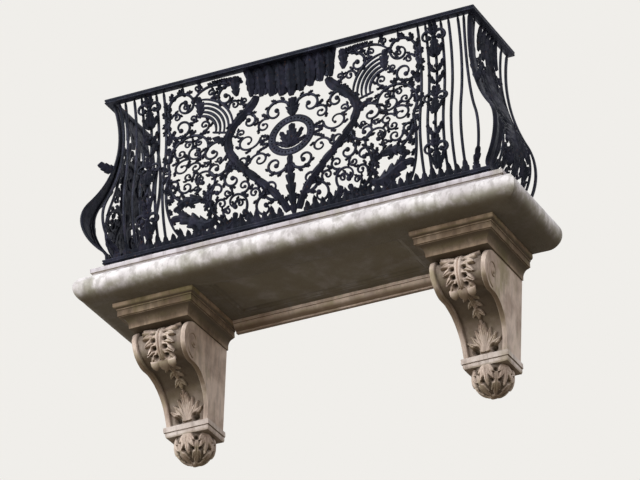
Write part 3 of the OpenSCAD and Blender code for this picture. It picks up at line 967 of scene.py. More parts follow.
@dataclass(frozen=True)
class Sheet:
    """The bellied sheets of the railing, and the places on them."""

    half_w: float
    depth: float
    step_z: float
    low: float
    high: float
    slim_x: float
    side_bar_in: float = 98 * MM

    @classmethod
    def from_frame(cls) -> "Sheet":
        """Reads the railing's reach from the CAD nodes."""
        rail_low, rail_high = box_of("handrail_front")
        step_z = box_of("landing_step")[1].z
        strip_x = box_of("strip_bars_right")[1].x
        return cls(
            half_w=rail_high.x,
            depth=-rail_low.y,
            step_z=step_z,
            low=box_of("base_rail_front")[1].z - step_z,
            high=rail_low.z - step_z,
            slim_x=strip_x + (rail_high.x - strip_x) * 0.3,
        )

    @property
    def front(self) -> Form:
        """The front's outline, nearly flat."""
        return Form(50 * MM, 36 * MM, self.high)

    @property
    def side(self) -> Form:
        """The sides' outline."""
        return Form(52 * MM, 66 * MM, self.high)

    @property
    def corner(self) -> Form:
        """The corners' outline, the fullest."""
        return Form(54 * MM, 103 * MM, self.high)

    def on_front(self, hand: Hand = Hand.RIGHT) -> Place:
        """Places on the front: s across from the middle, z up, o out."""
        form, way = self.front, hand.value
        return lambda s, z, o: Vector((way * s, -(self.depth + form.swell(z) + o), self.step_z + z))

    def on_side(self, hand: Hand) -> Place:
        """Places on a side: s back from the front edge, z up, o out."""
        form = self.side
        return lambda s, z, o: Vector(
            (hand.value * (self.half_w + form.swell(z) + o), s - self.depth, self.step_z + z)
        )

    def on_corner(self, hand: Hand) -> Place:
        """Places on the mitre of a corner: s across it, z up, o out."""
        form, root = self.corner, math.sqrt(0.5)

        def place(s: float, z: float, o: float) -> Vector:
            """Moves out on both faces at once."""
            out = form.swell(z)
            x = hand.value * (self.half_w + out + (s + o) * root)
            return Vector((x, -(self.depth + out) + (s - o) * root, self.step_z + z))

        return place

    def on_wrap(self, hand: Hand) -> Place:
        """Places folded round a corner: s back along the side, or inward along the front."""
        corner, side, front = self.corner, self.side, self.front
        root = math.sqrt(0.5)

        def place(s: float, z: float, o: float) -> Vector:
            """Folds a flat leaf over the corner, so that it lies on the fans of bars."""
            out = corner.swell(z)
            back, inward = max(0.0, s), max(0.0, -s)
            x_out = out + (side.swell(z) - out) * back / (self.side_bar_in + out)
            y_out = out + (front.swell(z) - out) * inward / (self.half_w - self.slim_x + out)
            x = hand.value * (self.half_w + x_out - inward + o * root)
            return Vector((x, -(self.depth + y_out) + back - o * root, self.step_z + z))

        return place

    def on_fan(self, hand: Hand, front: bool) -> Place:
        """Places halfway between a corner and the last bar of the front or the side."""
        corner = self.on_corner(hand)
        flat = self.on_front(hand) if front else self.on_side(hand)
        start = self.slim_x if front else self.side_bar_in
        return lambda s, z, o: (flat(start + s * 2, z, o * 2) + corner(0, z, 0)) / 2


# --- Ironwork ---


@dataclass(frozen=True)
class Rails:
    """The handrail and the base rail, mitred at the corners, with the feet."""

    iron: Material
    soft: float = 4 * MM

    def section(self, wide: float, tall: float) -> list[Flat]:
        """A rail's cross-section: a rounded bar with a thin lip along its lower edge."""
        lip, r = tall * 0.3, self.soft
        points = [(r, 0.0), (0.0, r * 0.6), (0.0, lip), (r * 0.9, lip + r * 0.5)]
        points += [(r * 0.9, lip + r), (0.0, lip + 2 * r), (0.0, tall - r)]
        points += [(r * 0.3, tall - r * 0.3), (r, tall), (wide - r, tall)]
        points += [(wide - r * 0.3, tall - r * 0.3), (wide, tall - r), (wide, r), (wide - r, 0.0)]
        return points

    def rail(self, kind: str) -> None:
        """Sweeps one rail round the three open sides of the balcony."""
        low, high = box_of(f"{kind}_front")
        shell = Shell()
        rings = []
        for way, open_side in ((-1, True), (-1, False), (1, False), (1, True)):
            ring = []
            for inward, up in self.section(high.y - low.y, high.z - low.z):
                y = 0.0 if open_side else low.y + inward
                ring.append(Vector((way * (high.x - inward), y, low.z + up)))
            rings.append(ring)
        shell.skin(rings)
        nodes = [f"{kind}_{end}" for end in ("front", "left", "right")]
        shell.deliver(f"{kind}_bar", self.iron, "iron", *nodes, crease=50)

    def feet(self) -> None:
        """Turned feet under the base rail: at the corners, strips, middle and wall."""
        low, high = box_of("feet")
        base_low, base_high = box_of("base_rail_front")
        size = base_high.y - base_low.y
        edge = base_high.x - size / 2
        strip_low, strip_high = box_of("strip_bars_right")
        middle = (strip_low.x + strip_high.x) / 2
        spots = [(x, base_low.y + size / 2) for x in (-edge, -middle, 0.0, middle, edge)]
        spots += [(x, high.y - size * 0.4) for x in (-edge, edge)]
        shell = Shell()
        for x, y in spots:
            rings = []
            for up, wide in ((0.0, 0.44), (0.2, 0.46), (0.55, 0.34), (1.0, 0.4)):
                r, z = size * wide, low.z + (high.z - low.z) * up
                rings.append(
                    [Vector((x + r * math.cos(a), y + r * math.sin(a), z)) for a in around(14)]
                )
            shell.skin(rings)
        shell.deliver("rail_feet", self.iron, "iron", "feet")

    def build(self) -> None:
        """Makes both rails and the feet."""
        self.rail("handrail")
        self.rail("base_rail")
        self.feet()


@dataclass(frozen=True)
class Bars:
    """The upright bars: corners, wall bars, fan bars, slim bars and barred strips."""

    sheet: Sheet
    iron: Material
    row: Tree
    bar_w: float = 14 * MM
    bar_t: float = 12 * MM
    corner_w: float = 22 * MM
    count: int = 5

    def upright(self, shell: Shell, s: float, width: float, place: Place) -> None:
        """One upright bar from the base rail to the handrail."""
        path = line((s, self.sheet.low), (s, self.sheet.high), 40)
        Pen(shell, place).bar(path, even(width), self.bar_t, Section.BAR, 16 * MM)

    def build(self) -> None:
        """Makes all upright bars."""
        sheet, slim, stout = self.sheet, self.bar_w, self.corner_w
        for hand in Hand:
            side = sheet.on_side(hand)
            fans = [(0.0, slim, sheet.on_fan(hand, front)) for front in (True, False)]
            ends = (sheet.side_bar_in, sheet.depth - sheet.side_bar_in)
            for name, node, bars in (
                ("corner_upright", "corner_bar", [(0.0, stout, sheet.on_corner(hand))]),
                ("wall_upright", "wall_bar", [(sheet.depth - stout, stout, side)]),
                ("fan_uprights", "slim_bar", [(sheet.slim_x, slim, sheet.on_front(hand)), *fans]),
                ("side_uprights", "side_bars", [(s, slim, side) for s in ends]),
            ):
                shell = Shell()
                for s, width, place in bars:
                    self.upright(shell, s, width, place)
                shell.deliver(f"{name}_{hand.word}", self.iron, "iron", f"{node}_{hand.word}")
            self.strip(hand)

    def strip(self, hand: Hand) -> None:
        """The close-set bars of one strip, repeated by a tree."""
        low, high = box_of(f"strip_bars_{hand.word}")
        pitch = (high.x - low.x - self.bar_w) / (self.count - 1)
        one = Shell()
        self.upright(one, low.x + self.bar_w / 2, self.bar_w, self.sheet.on_front())
        host = one.build("strip_bar_host", self.iron)
        values = {"Count": self.count, "Pitch": pitch}
        piece = run_tree(host, self.row, values, f"strip_uprights_{hand.word}")
        hand_over(piece, "iron", f"strip_bars_{hand.word}")


@dataclass(frozen=True)
class Scrollwork:
    """Scrolls, leaves and buds of the front and the sides."""

    sheet: Sheet
    iron: Material
    beads: Tree
    band_w: float = 38 * MM
    strut_w: float = 12 * MM
    foot_pitch: float = 41 * MM
    ring_z: float = 492 * MM
    ring_r: float = 128 * MM
    valance_half: float = 0.26
    valance_drop: float = 0.205
    gap_in: float = 33 * MM
    gap_out: float = 22 * MM
    gap_side: float = 14 * MM
    closed: float = 9.0

    @property
    def edge(self) -> float:
        """Inner edge of the barred strip."""
        return box_of("strip_bars_right")[0].x

    def level(self, v: float) -> float:
        """Height above the step of a share of the panel."""
        return self.sheet.low + v * (self.sheet.high - self.sheet.low)

    def at(self, u: float, v: float) -> Flat:
        """A point of the front, as shares of the half panel and of its height."""
        return u * self.edge, self.level(v)

    def hand_in(self, pen: Pen, name: str, hand: Hand, node: str = "") -> Path:
        """Finishes the piece of one half, and returns the points that it draws."""
        nodes = [f"{node}_{hand.word}"] if node else []
        pen.shell.deliver(f"{name}_{hand.word}", self.iron, "iron", *nodes)
        return pen.shell.drawn

    def strut(self, pen: Pen, *path: Flat) -> None:
        """A plain short bar."""
        pen.bar(list(path), even(self.strut_w))

    def foot_leaves(self, pen: Pen, start: float, end: float, pitch: float) -> None:
        """A row of upright leaves along the base rail, from start to end across the sheet."""
        count = max(1, round((end - start) / pitch) + 1)
        low = self.sheet.low - 4 * MM
        for i in range(count):
            x = start + (end - start) * i / max(1, count - 1)
            tall = (78 if i % 2 else 60) * MM
            path = line((x, low), (x, low + tall), 8)
            FOOT_LEAF.grow(pen, path, thinned(pitch * 1.12, 0.06), 3 * MM)

    def front(self, hand: Hand) -> Path:
        """The scrolls of one half of the front. Returns the points it draws."""
        pen, at = Pen(Shell(), self.sheet.on_front(hand)), self.at
        post_top, post_mid, fork = at(0.973, 0.819), at(0.956, 0.449), at(0.612, 0.261)
        pen.curls(
            (
                (post_top, at(0.855, 0.884), 20 * MM, 505, 6, 52 * MM),
                (post_top, at(0.881, 0.752), 18 * MM, -470, 6, 50 * MM),
                (post_mid, at(0.77, 0.566), 18 * MM, 560, 8, 58 * MM),
                (post_mid, at(0.7, 0.343), 18 * MM, -500, 7, 56 * MM),
                (fork, at(0.439, 0.15), 20 * MM, -480, 8, 60 * MM),
                (at(0.635, 0.188), at(0.573, 0.25), 14 * MM, 330, 4, 44 * MM),
                ((0.352, 0.55), (0.43, 0.5), 12 * MM, -430, 5, 46 * MM),
                ((0.335, 0.43), (0.41, 0.4), 12 * MM, 430, 5, 46 * MM),
                ((0.33, 0.885), (0.36, 0.82), 12 * MM, -400, 4, 42 * MM),
                ((0.25, 0.36), (0.31, 0.3), 12 * MM, -420, 5, 46 * MM),
                ((0.672, 0.32), (0.635, 0.35), 10 * MM, 380, 3, 36 * MM),
            )
        )
        low_spray = curve(at(0.593, 0.094), at(0.72, 0.013), at(0.806, 0.17), at(0.953, 0.136))
        spray = curve(at(0.688, 0.215), at(0.749, 0.243), at(0.835, 0.243), at(0.921, 0.185))
        for path, width in ((low_spray, 84 * MM), (spray, 66 * MM)):
            BIG_LEAF.grow(pen, path, swollen(width, 0.25))
        stalk = curve(post_mid, at(0.996, 0.326), at(0.996, 0.103), at(0.881, 0.02))
        pen.bar(stalk, thinned(pen.strap_w))
        pen.fringe(stalk, -1, (0.1, 0.85), 6, 52 * MM)
        brace_top = (0.262, self.level(0.945))
        brace = curve(brace_top, at(0.475, 0.945), at(0.691, 1.018), at(0.783, 0.897))
        pen.scroll(brace, -1, 7)
        for row in (
            ((0.292, 0.8), 78, 0.11, 24, 0.5, 22 * MM),
            ((0.51, 0.75), 100, 0.11, -30, 0.5, 3 * MM),
            ((0.44, 0.6), 200, 0.09, 40, 0.5, 2 * MM),
            ((0.687, 0.62), 100, 0.09, 30, 0.4, 2 * MM),
            ((0.56, 0.16), 20, 0.08, 40, 0.5, 4 * MM),
            ((0.2, 0.05), 30, 0.1, 40, 0.5, 2 * MM),
            ((0.36, 0.05), 150, 0.09, -50, 0.5, 2 * MM),
            ((0.5, 0.05), 30, 0.08, 50, 0.5, 2 * MM),
        ):
            pen.husk(SMALL_LEAF, *row)
        self.foot_leaves(pen, 75 * MM, self.edge - 36 * MM, self.foot_pitch)
        for spot in (post_top, post_mid):
            self.strut(pen, spot, (self.edge, spot[1]))
        for u, v, end in ((0.855, 0.951, 1.0), (0.887, 0.027, 0.0), (0.439, 0.051, 0.0)):
            self.strut(pen, at(u, v), at(u, end))
        return self.hand_in(pen, "front_scrollwork", hand, "front_scrolls")

    def band(self) -> Path:
        """The middle line of the band past the medallion, from the top down."""
        x, z = self.at(0.507, 0.583)
        top, foot = (0.2, 0.785), (0.03, self.sheet.low + 26 * MM)
        upper = curve(top, (top[0], top[1] - 0.06), (x, z + 0.11), (x, z))
        return upper + curve((x, z), (x, z - 0.19), (0.08, 0.23), foot)[1:]

    def cartouche(self, hand: Hand) -> Path:
        """The broad band past the medallion, and a shell's ribs beside it. Returns its points."""
        pen, at = Pen(Shell(), self.sheet.on_front(hand)), self.at
        band = self.band()
        BAND_LEAF.grow(pen, band, lambda k: self.band_w * (1.5 - 0.5 * k), 2 * MM)
        pen.bar(band, even(pen.strap_w))
        pen.fringe(band, 1, (0.1, 0.9), 9, 58 * MM)
        pen.fringe(band, -1, (0.12, 0.8), 7, 46 * MM)
        x, z = at(0.749, 0.694)
        for i in range(5):
            r = (92 + 23 * i) * MM
            rib = spiral((x, z), r, r + 7 * MM, 92 + 4 * (i % 2), 106)
            pen.bar(rib, swollen(pen.strap_w * (1.1 - 0.06 * i), 0.4))
            pen.eye(rib[0], 10 * MM)
        for a in (math.radians(96), math.radians(196)):
            spine = [(x + r * math.cos(a), z + r * math.sin(a)) for r in (0.08, 0.12, 0.155, 0.192)]
            self.strut(pen, *spine)
        pen.curls(
            (
                (at(0.063, 0.125), at(0.147, 0.186), 14 * MM, 400, 4, 40 * MM),
                (at(0.063, 0.06), at(0.216, 0.08), 14 * MM, -430, 4, 40 * MM),
                ((0.305, 0.66), (0.24, 0.645), 12 * MM, 420, 4, 40 * MM),
                ((0.325, 0.43), (0.265, 0.4), 11 * MM, -420, 4, 40 * MM),
            )
        )
        return self.hand_in(pen, "cartouche_band", hand, "cartouche")

    def medallion(self) -> Path:
        """The ring with its bud, and the leaves and scrolls round it. Returns its points."""
        pen = Pen(Shell(), self.sheet.on_front())
        ring_w = self.ring_r / 3
        middle = self.ring_r - ring_w / 2
        pen.hoop((0, self.ring_z), middle, ring_w)
        bud = (0, self.ring_z - 78 * MM)
        for aim, wide in ((90, 0.42), (62, 0.36), (118, 0.36), (32, 0.34), (148, 0.34)):
            pen.husk(BUD_LEAF, bud, aim, 0.15 - 0.0009 * abs(aim - 90), 0, wide, 4 * MM)
        crown, root = self.ring_z + self.ring_r, self.ring_z - self.ring_r
        room = 0.728 - crown
        stem = line((0, crown - 4 * MM), (0, crown - 4 * MM + room), 10)
        BUD_LEAF.grow(pen, stem, swollen(80 * MM, 0.4))
        STEM_LEAF.grow(pen, line((0, self.sheet.low), (0, root), 16), swollen(56 * MM, 0.5))
        for m in (-1, 1):
            over = (m * room * 0.88, crown + room * 0.36)
            under = (m * self.ring_r * 0.62, root - 34 * MM)
            pen.curls(
                (
                    ((0, crown + room * 0.13), over, room * 0.13, -430 * m, 5, 40 * MM),
                    ((0, root - 24 * MM), under, 13 * MM, 430 * m, 5, 38 * MM),
                )
            )
            for up, aim in ((0.03, 72), (0.02, 104), (-0.02, 76), (-0.03, 108)):
                spot = (m * (self.ring_r - 6 * MM), self.ring_z + up)
                pen.husk(SMALL_LEAF, spot, 90 - m * aim, 50 * MM, 0, 0.5)
        pen.shell.deliver("medallion_ring", self.iron, "iron", "medallion")
        ring = [
            pen.place(middle * math.cos(a), self.ring_z + middle * math.sin(a), pen.strap_t * 0.5)
            for a in (math.tau * i / 64 for i in range(65))
        ]
        values = {"Radius": 5.5 * MM, "Pitch": 19 * MM}
        hand_over(run_tree(wire(ring, "ring_line"), self.beads, values, "medallion_beads"), "iron")
        return pen.shell.drawn

    def fill(
        self,
        name: str,
        width: float,
        drawn: Sequence[Flat],
        least: Callable[[float, float], float],
        area: Sequence[float],
        on: Callable[[Hand], Place],
    ) -> None:
        """Fills the gaps of a panel with small curls, the same on both halves.

        Args:
            name: Name of the pieces, without the hand.
            width: Width of the curls.
            drawn: Points of all that is drawn there already.
            least: Least free radius worth filling at a point.
            area: Ends of the panel across and in height.
            on: Gives the sheet of each half.
        """
        found = tendrils(drawn, functools.cache(least), area)
        LOG.info("%s: %d curls a half", name, len(found))
        for hand in Hand:
            pen = Pen(Shell(), on(hand))
            pen.thicket(found, width)
            self.hand_in(pen, name, hand)

    def fill_front(self, drawn: Path) -> None:
        """Fills the front, but for the valance, more finely outside the band."""
        band = self.band()
        low, high = self.sheet.low, self.sheet.high
        border = line((self.edge, low), (self.edge, high), 90)
        border += [(self.edge * i / 70, z) for i in range(71) for z in (low, high)]

        def least(x: float, z: float) -> float:
            """Free radius worth filling: larger inside the band, none under the valance."""
            if x < 0.27 and z > high - 0.225 * (1 - 0.3 * x / 0.26):
                return self.closed
            reach = min(band, key=lambda spot: abs(spot[1] - z))[0]
            return self.gap_in if x < reach and z < band[0][1] else self.gap_out

        area = (20 * MM, self.edge, low, high)
        on = self.sheet.on_front
        self.fill("front_tendrils", 15 * MM, drawn + border, least, area, on)

    def fill_side(self, drawn: Path) -> None:
        """Fills both sides, but for the openings under the handrail."""
        low, high = self.sheet.low, self.sheet.high
        near, far = self.sheet.side_bar_in, self.sheet.depth - self.sheet.side_bar_in
        border = [(s, low + (high - low) * i / 90) for i in range(91) for s in (near, far)]
        border += [(near + (far - near) * i / 40, z) for i in range(41) for z in (low, high)]

        def least(x: float, z: float) -> float:
            """Free radius worth filling. The openings under the handrail stay."""
            return self.closed if z > high - 0.2 else self.gap_side

        area = (near, far, low, high)
        self.fill("side_tendrils", 14 * MM, drawn + border, least, area, self.sheet.on_side)

    def front_valance(self) -> None:
        """A fluted plate that hangs from the handrail, with a scalloped lower edge."""
        pen = Pen(Shell(), self.sheet.on_front())
        half, drop, flutes, count, columns = self.valance_half, self.valance_drop, 9, 30, 126
        rows = []
        for v in (i / count for i in range(count + 1)):
            row = []
            for u in (2 * j / columns - 1 for j in range(columns + 1)):
                wave = abs(math.cos(math.pi * u * flutes / 2)) ** 0.6
                long = drop * (1 - 0.3 * abs(u)) - 30 * MM * (1 - wave) - 10 * MM
                spot = (half * u * (0.99 - 0.12 * v), self.sheet.high - v * long)
                rise = (0.25 + 0.75 * v) * 12 * MM * wave
                rise += 5 * MM * math.sin(math.pi * min(1.0, v * 3))
                front, back = pen.place(*spot, rise - 2 * MM), pen.place(*spot, rise * 0.6 - 8 * MM)
                row.append((front, back, (1 - wave) * 0.8))
            rows.append(row)
        pen.shell.plate(rows)
        for u in ((i - 4) / 4.5 for i in range(flutes)):
            root = (half * u * 0.96, self.sheet.high - 6 * MM)
            pen.husk(TONGUE, root, -90, drop * (0.95 - 0.28 * abs(u)), -3 * u, 0.34, 10 * MM)
        pen.shell.deliver("valance_plate", self.iron, "iron", "valance_front")

    def side_valance(self, hand: Hand) -> None:
        """Leaves that hang from the handrail of a side, open between their stems."""
        pen = Pen(Shell(), self.sheet.on_side(hand))
        middle, top, pitch = self.sheet.depth / 2, self.sheet.high, 49 * MM
        for i in range(-2, 3):
            root = (middle + pitch * i, top - 1 * MM)
            pen.husk(BUD_LEAF, root, -90 + 3 * i, 0.2 - 0.026 * abs(i), 3 * i, 0.36)
        for i in range(-2, 2):
            x = middle + pitch * (i + 0.5)
            spots = [(x + across * MM, top - drop * MM) for across, drop in self.loop]
            pen.bar(curve(*spots, 10), even(10 * MM), 8 * MM)
        self.hand_in(pen, "side_valance", hand, "valance")

    @property
    def loop(self) -> Sequence[Flat]:
        """The small arch between two hanging leaves, as (across, drop) in millimetres."""
        return (-24, 110), (-12, 75), (12, 75), (24, 110)

    def strip_ornament(self, hand: Hand) -> None:
        """Small scrolls and leaves laid over one barred strip."""
        low, high = box_of("strip_bars_right")
        middle, r = (low.x + high.x) / 2, (high.x - low.x) * 0.26
        place = self.sheet.on_front(hand)
        shell = Shell()
        flat = Pen(shell, place)
        pen = Pen(shell, lambda s, z, o: place(s, z, o + flat.strap_t))
        for z in (0.855, 0.492, 0.188):
            for m in (-1, 1):
                start = 200 if m > 0 else -20
                pen.scroll(spiral((middle + m * r * 0.82, z), r, r * 0.25, start, -360 * m), -m)
                x = middle + m * 4 * MM
                drop = (x, z - 4 * MM), 90 + m * 158, 0.1, m * 34, 0.42, 3 * MM
                rise = (x, z + 4 * MM), 90 - m * 20, 0.075, m * 30, 0.42, 3 * MM
                pen.husk(SMALL_LEAF, *drop)
                pen.husk(SMALL_LEAF, *rise)
            pen.eye((middle, z), 13 * MM)
        for z in (0.1, 0.26, 0.4, 0.58, 0.65, 0.74):
            for m in (-1, 1):
                root = (middle + m * 3 * MM, z)
                pen.husk(SMALL_LEAF, root, 90 - m * 40, 0.08, m * 26, 0.36, 2 * MM)
        for z in (0.69, 0.335):
            pen.eye((middle, z), 12 * MM)
        self.foot_leaves(flat, low.x + 7 * MM, self.sheet.slim_x, self.foot_pitch)
        for front, tufts in ((True, ((0.05, 0.09),)), (False, ((0.05, 0.17), (0.17, 0.13)))):
            fan = Pen(shell, self.sheet.on_fan(hand, front))
            self.foot_leaves(fan, 0.0, 0.0, self.foot_pitch)
            for m in (-1, 1):
                for z, long in tufts:
                    fan.husk(SMALL_LEAF, (0.0, z), 90 - m * 13, long, m * 20, 0.3, 3 * MM)
        self.hand_in(pen, "strip_ornament", hand, "strip_curls")

    def side(self, hand: Hand) -> Path:
        """The scrollwork of one side, with its palm of broad leaves. Returns its points."""
        pen = Pen(Shell(), self.sheet.on_side(hand))
        middle = self.sheet.depth / 2
        reach = middle - self.sheet.side_bar_in
        waist_z = self.level(0.404)
        for m in (-1, 1):

            def at(u: float, v: float, m: int = m) -> Flat:
                """A point of this half of the side."""
                return middle + m * u * reach, self.level(v)

            waist = at(0.053, 0.404)
            for path in (
                curve(at(0.51, 0.83), at(0.51, 0.75), at(1.33, 0.516), waist),
                curve(waist, at(0.319, 0.292), at(0.532, 0.158), at(0.798, 0.009)),
            ):
                pen.bar(path, even(pen.strap_w))
                pen.fringe(path, m, (0.08, 0.92), 7, 50 * MM)
                pen.fringe(path, -m, (0.15, 0.85), 5, 44 * MM)
            pen.curls(
                (
                    (at(0.717, 0.678), at(0.372, 0.599), 14 * MM, 430 * m, 6, 46 * MM),
                    (at(0.16, 0.359), at(0.65, 0.326), 15 * MM, -470 * m, 6, 46 * MM),
                    (at(0.66, 0.08), at(0.33, 0.125), 15 * MM, 420 * m, 6, 46 * MM),
                )
            )
            self.strut(pen, at(0.638, 0.326), at(0.96, 0.326))
            for up, aim, long, share in (
                (1, 17, 0.33, 0.34),
                (1, 34, 0.3, 0.34),
                (1, 52, 0.22, 0.4),
                (-1, 24, 0.27, 0.28),
                (-1, 50, 0.22, 0.34),
            ):
                bend = m * 24 if up > 0 else -m * 16
                root = (middle, waist_z)
                pen.husk(PALM_LEAF, root, up * (90 - m * aim), long, bend, share, 3 * MM)
        pen.husk(PALM_LEAF, (middle, waist_z - 10 * MM), 90, 0.36, 0, 0.32, 6 * MM)
        self.foot_leaves(pen, 30 * MM, self.sheet.depth - 30 * MM, 38 * MM)
        low = self.sheet.low
        pen.husk(PALM_LEAF, (middle, low), 90, waist_z - low, 0, 0.2, 2 * MM)
        pen.eye((middle, waist_z), 26 * MM)
        return self.hand_in(pen, "side_scrollwork", hand, "side_scrolls")

    def corner_leaf(self, hand: Hand) -> None:
        """The long leaf folded over a corner's belly, and the pointed tip that turns out of it."""
        corner = self.sheet.on_corner(hand)
        shell = Shell()
        mitre = Pen(shell, lambda s, z, o: corner(-o, z, s))
        tip = ((0.0, 0.572), (30 * MM, 0.588), (58 * MM, 0.594), (84 * MM, 0.612))
        TIP_LEAF.grow(mitre, curve(*((s, self.level(v)) for s, v in tip)), thinned(54 * MM, 0.4))
        fold = Pen(shell, self.sheet.on_wrap(hand))
        for low, high, wide, back in ((0.045, 0.6, 120, 46), (0.4, 0.9, 85, 26)):
            path = line((back * MM, low), (back * MM, high), 30)
            FOLDED_LEAF.grow(fold, path, swollen(wide * MM, 0.5), 4 * MM)
        self.hand_in(fold, "corner_spur", hand, "corner_leaf")

    def build(self) -> None:
        """Makes all the scrollwork."""
        front, side = self.medallion(), []
        for hand in Hand:
            front += self.front(hand) + self.cartouche(hand)
            side += self.side(hand)
            self.strip_ornament(hand)
            self.corner_leaf(hand)
            self.side_valance(hand)
        self.fill_front(front)
        self.fill_side(side)
        self.front_valance()


# --- Stonework ---


def worn(point: Vector, amount: float, size: float = 60 * MM) -> Vector:
    """Moves a point of the stone a little, as wear does."""
    return point + noise.noise_vector(point / size) * amount


def quarter(start: Flat, end: Flat, bulge: bool, count: int = 6) -> list[Flat]:
    """A quarter round between two corners of a profile, swelling or hollow."""
    points = []
    for a in (math.pi / 2 * i / count for i in range(1, count + 1)):
        k, m = math.sin(a), 1 - math.cos(a)
        if not bulge:
            k, m = m, k
        points.append((start[0] + (end[0] - start[0]) * k, start[1] + (end[1] - start[1]) * m))
    return points


@dataclass(frozen=True)
class Moulding:
    """A block whose front and two ends carry the same moulding.

    Profile holds its rings as (out, height), and a painted shade from 0 to 1 for each. Panel
    holds rings that go on from there, sunk in the soffit, as (x0, x1, y0, y1, height, shade).
    """

    centre: float
    width: float
    depth: float
    profile: Sequence[Flat]
    wear: float = 1.2 * MM
    panel: Sequence[Sequence[float]] = ()
    dirt: Sequence[float] = ()
    pitch: float = 25 * MM

    def deliver(self, name: str, finish: Material, slot: str, node: str) -> None:
        """Builds the block ring by ring, worn but within its reach and flat on the wall."""
        half = self.width / 2
        reach = max(out for out, _ in self.profile)
        left, right = self.centre - half, self.centre + half
        spans = [max(2, round(long / self.pitch)) for long in (self.width, self.depth)] * 2
        dirt = [*self.dirt, *[0.0] * (len(self.profile) - len(self.dirt))]
        levels = [
            (left - out, right + out, -self.depth - out, 0.0, z, deep)
            for (out, z), deep in zip(self.profile, dirt)
        ]
        rings, hollows = [], []
        for x0, x1, y0, y1, z, deep in [*levels, *self.panel]:
            corners = [(x0, y0), (x1, y0), (x1, y1), (x0, y1)]
            ring = []
            for a, b, count in zip(corners, corners[1:] + corners[:1], spans):
                for x, y in line(a, b, count)[:-1]:
                    p = worn(Vector((x, y, z)), self.wear)
                    p.x = max(left - reach, min(p.x, right + reach))
                    p.y = max(-self.depth - reach, min(p.y, 0.0)) if y < -1e-6 else 0.0
                    ring.append(p)
            rings.append(ring)
            hollows.append([deep] * len(ring))
        shell = Shell()
        shell.skin(rings, hollows)
        shell.deliver(name, finish, slot, node)


@dataclass(frozen=True)
class Landing:
    """The landing with its round edge, the step on it and the bed moulding under it."""

    pale: Material
    stone: Material
    washed: Material
    arris: float = 5 * MM
    throat: float = 11 * MM
    throat_h: float = 15 * MM

    @property
    def panel_steps(self) -> Sequence[Sequence[float]]:
        """The sunk panel of the soffit, as (inset, sunk, painted shade), inset and sunk in
        millimetres.
        """
        return (0, 0, 0.42), (4, 4, 0.6), (14, 5, 0.3), (22, 13, 0.6), (34, 14, 0.1)

    def slab(self) -> None:
        """The landing, rounded on three sides, with a sunk panel below between the consoles."""
        low, high = box_of("landing_slab")
        r = (high.z - low.z) / 2
        edge = box_of("console_cap_right")[0].x - 66 * MM
        front, back = low.y + r + 90 * MM, box_of("bed_moulding")[0].y - 45 * MM
        panel = []
        for inset, sunk, deep in self.panel_steps:
            k = inset * MM
            panel.append((k - edge, edge - k, front + k, back - k, sunk * MM - r, deep))
        turns = [math.pi * i / 20 for i in range(21)]
        profile = [(-0.02, r)] + [(r * math.sin(a), r * math.cos(a)) for a in turns]
        # Painted shade: the round edge darkens as it turns under, most at its foot.
        dirt = [max(0.0, min(0.58, (i - 12) * 0.1)) for i in range(len(profile))]
        width, depth = high.x - low.x - 2 * r, -low.y - r
        block = Moulding(0.0, width, depth, profile, panel=panel, dirt=dirt)
        block.deliver("landing_stone", self.pale, "pale_stone", "landing_slab")

    def step(self) -> None:
        """The flat step, with a rounded arris above and a throat cut along its foot."""
        low, high = box_of("landing_step")
        r, sunk, top = self.arris, -self.throat, low.z + self.throat_h
        profile = [(sunk, low.z), (sunk, low.z + self.throat_h * 0.7), (sunk * 0.7, top)]
        profile += [(-1 * MM, top), (0.0, top + 2 * MM), (0.0, high.z - r)]
        profile += [(-r * 0.3, high.z - r * 0.3), (-r, high.z)]
        block = Moulding(0.0, high.x - low.x, -low.y, profile, 1.0 * MM)
        block.deliver("step_stone", self.washed, "stone", "landing_step")

    def bed(self) -> None:
        """The moulding under the landing, between the consoles."""
        low, high = box_of("bed_moulding")
        shares = [(1.0, 0.0), (1.0, 0.28), (0.9, 0.3)]
        shares += quarter((0.9, 0.3), (0.35, 0.85), False) + [(0.35, 1.0), (0.0, 1.0), (0.0, 0.0)]
        rings = []
        for x, _ in line((low.x, 0.0), (high.x, 0.0), 60):
            ring = [Vector((x, low.y * a, high.z - (high.z - low.z) * b)) for a, b in shares]
            rings.append([worn(p, 0.8 * MM) if p.y < 0 else p for p in ring])
        shell = Shell()
        shell.skin(rings)
        shell.deliver("bed_stone", self.stone, "stone", "bed_moulding")

    def build(self) -> None:
        """Makes the three pieces."""
        self.slab()
        self.step()
        self.bed()


@dataclass(frozen=True)
class Lobe:
    """One carved lobe: where it starts and ends as (across, down), its width and its rise."""

    root: Flat
    tip: Flat
    width: float
    rise: float

    def height(self, x: float, s: float) -> float:
        """Height of the lobe at a point, below zero outside it."""
        dx, ds = self.tip[0] - self.root[0], self.tip[1] - self.root[1]
        long = math.hypot(dx, ds)
        p = ((x - self.root[0]) * dx + (s - self.root[1]) * ds) / long**2
        q = ((x - self.root[0]) * ds - (s - self.root[1]) * dx) / long
        if not 0 < p < 1:
            return -1.0
        ripple = 0.84 + 0.16 * abs(math.sin(3.5 * math.pi * p))
        half = self.width / 2 * math.sin(math.pi * p**0.75) ** 0.6 * ripple
        if half < 1e-5 or abs(q) > half:
            return -1.0
        w = q / half
        groove = 0.35 * math.exp(-((w / 0.16) ** 2))
        return self.rise * ((1 - w * w) ** 0.5 * (0.55 + 0.45 * p) - groove)


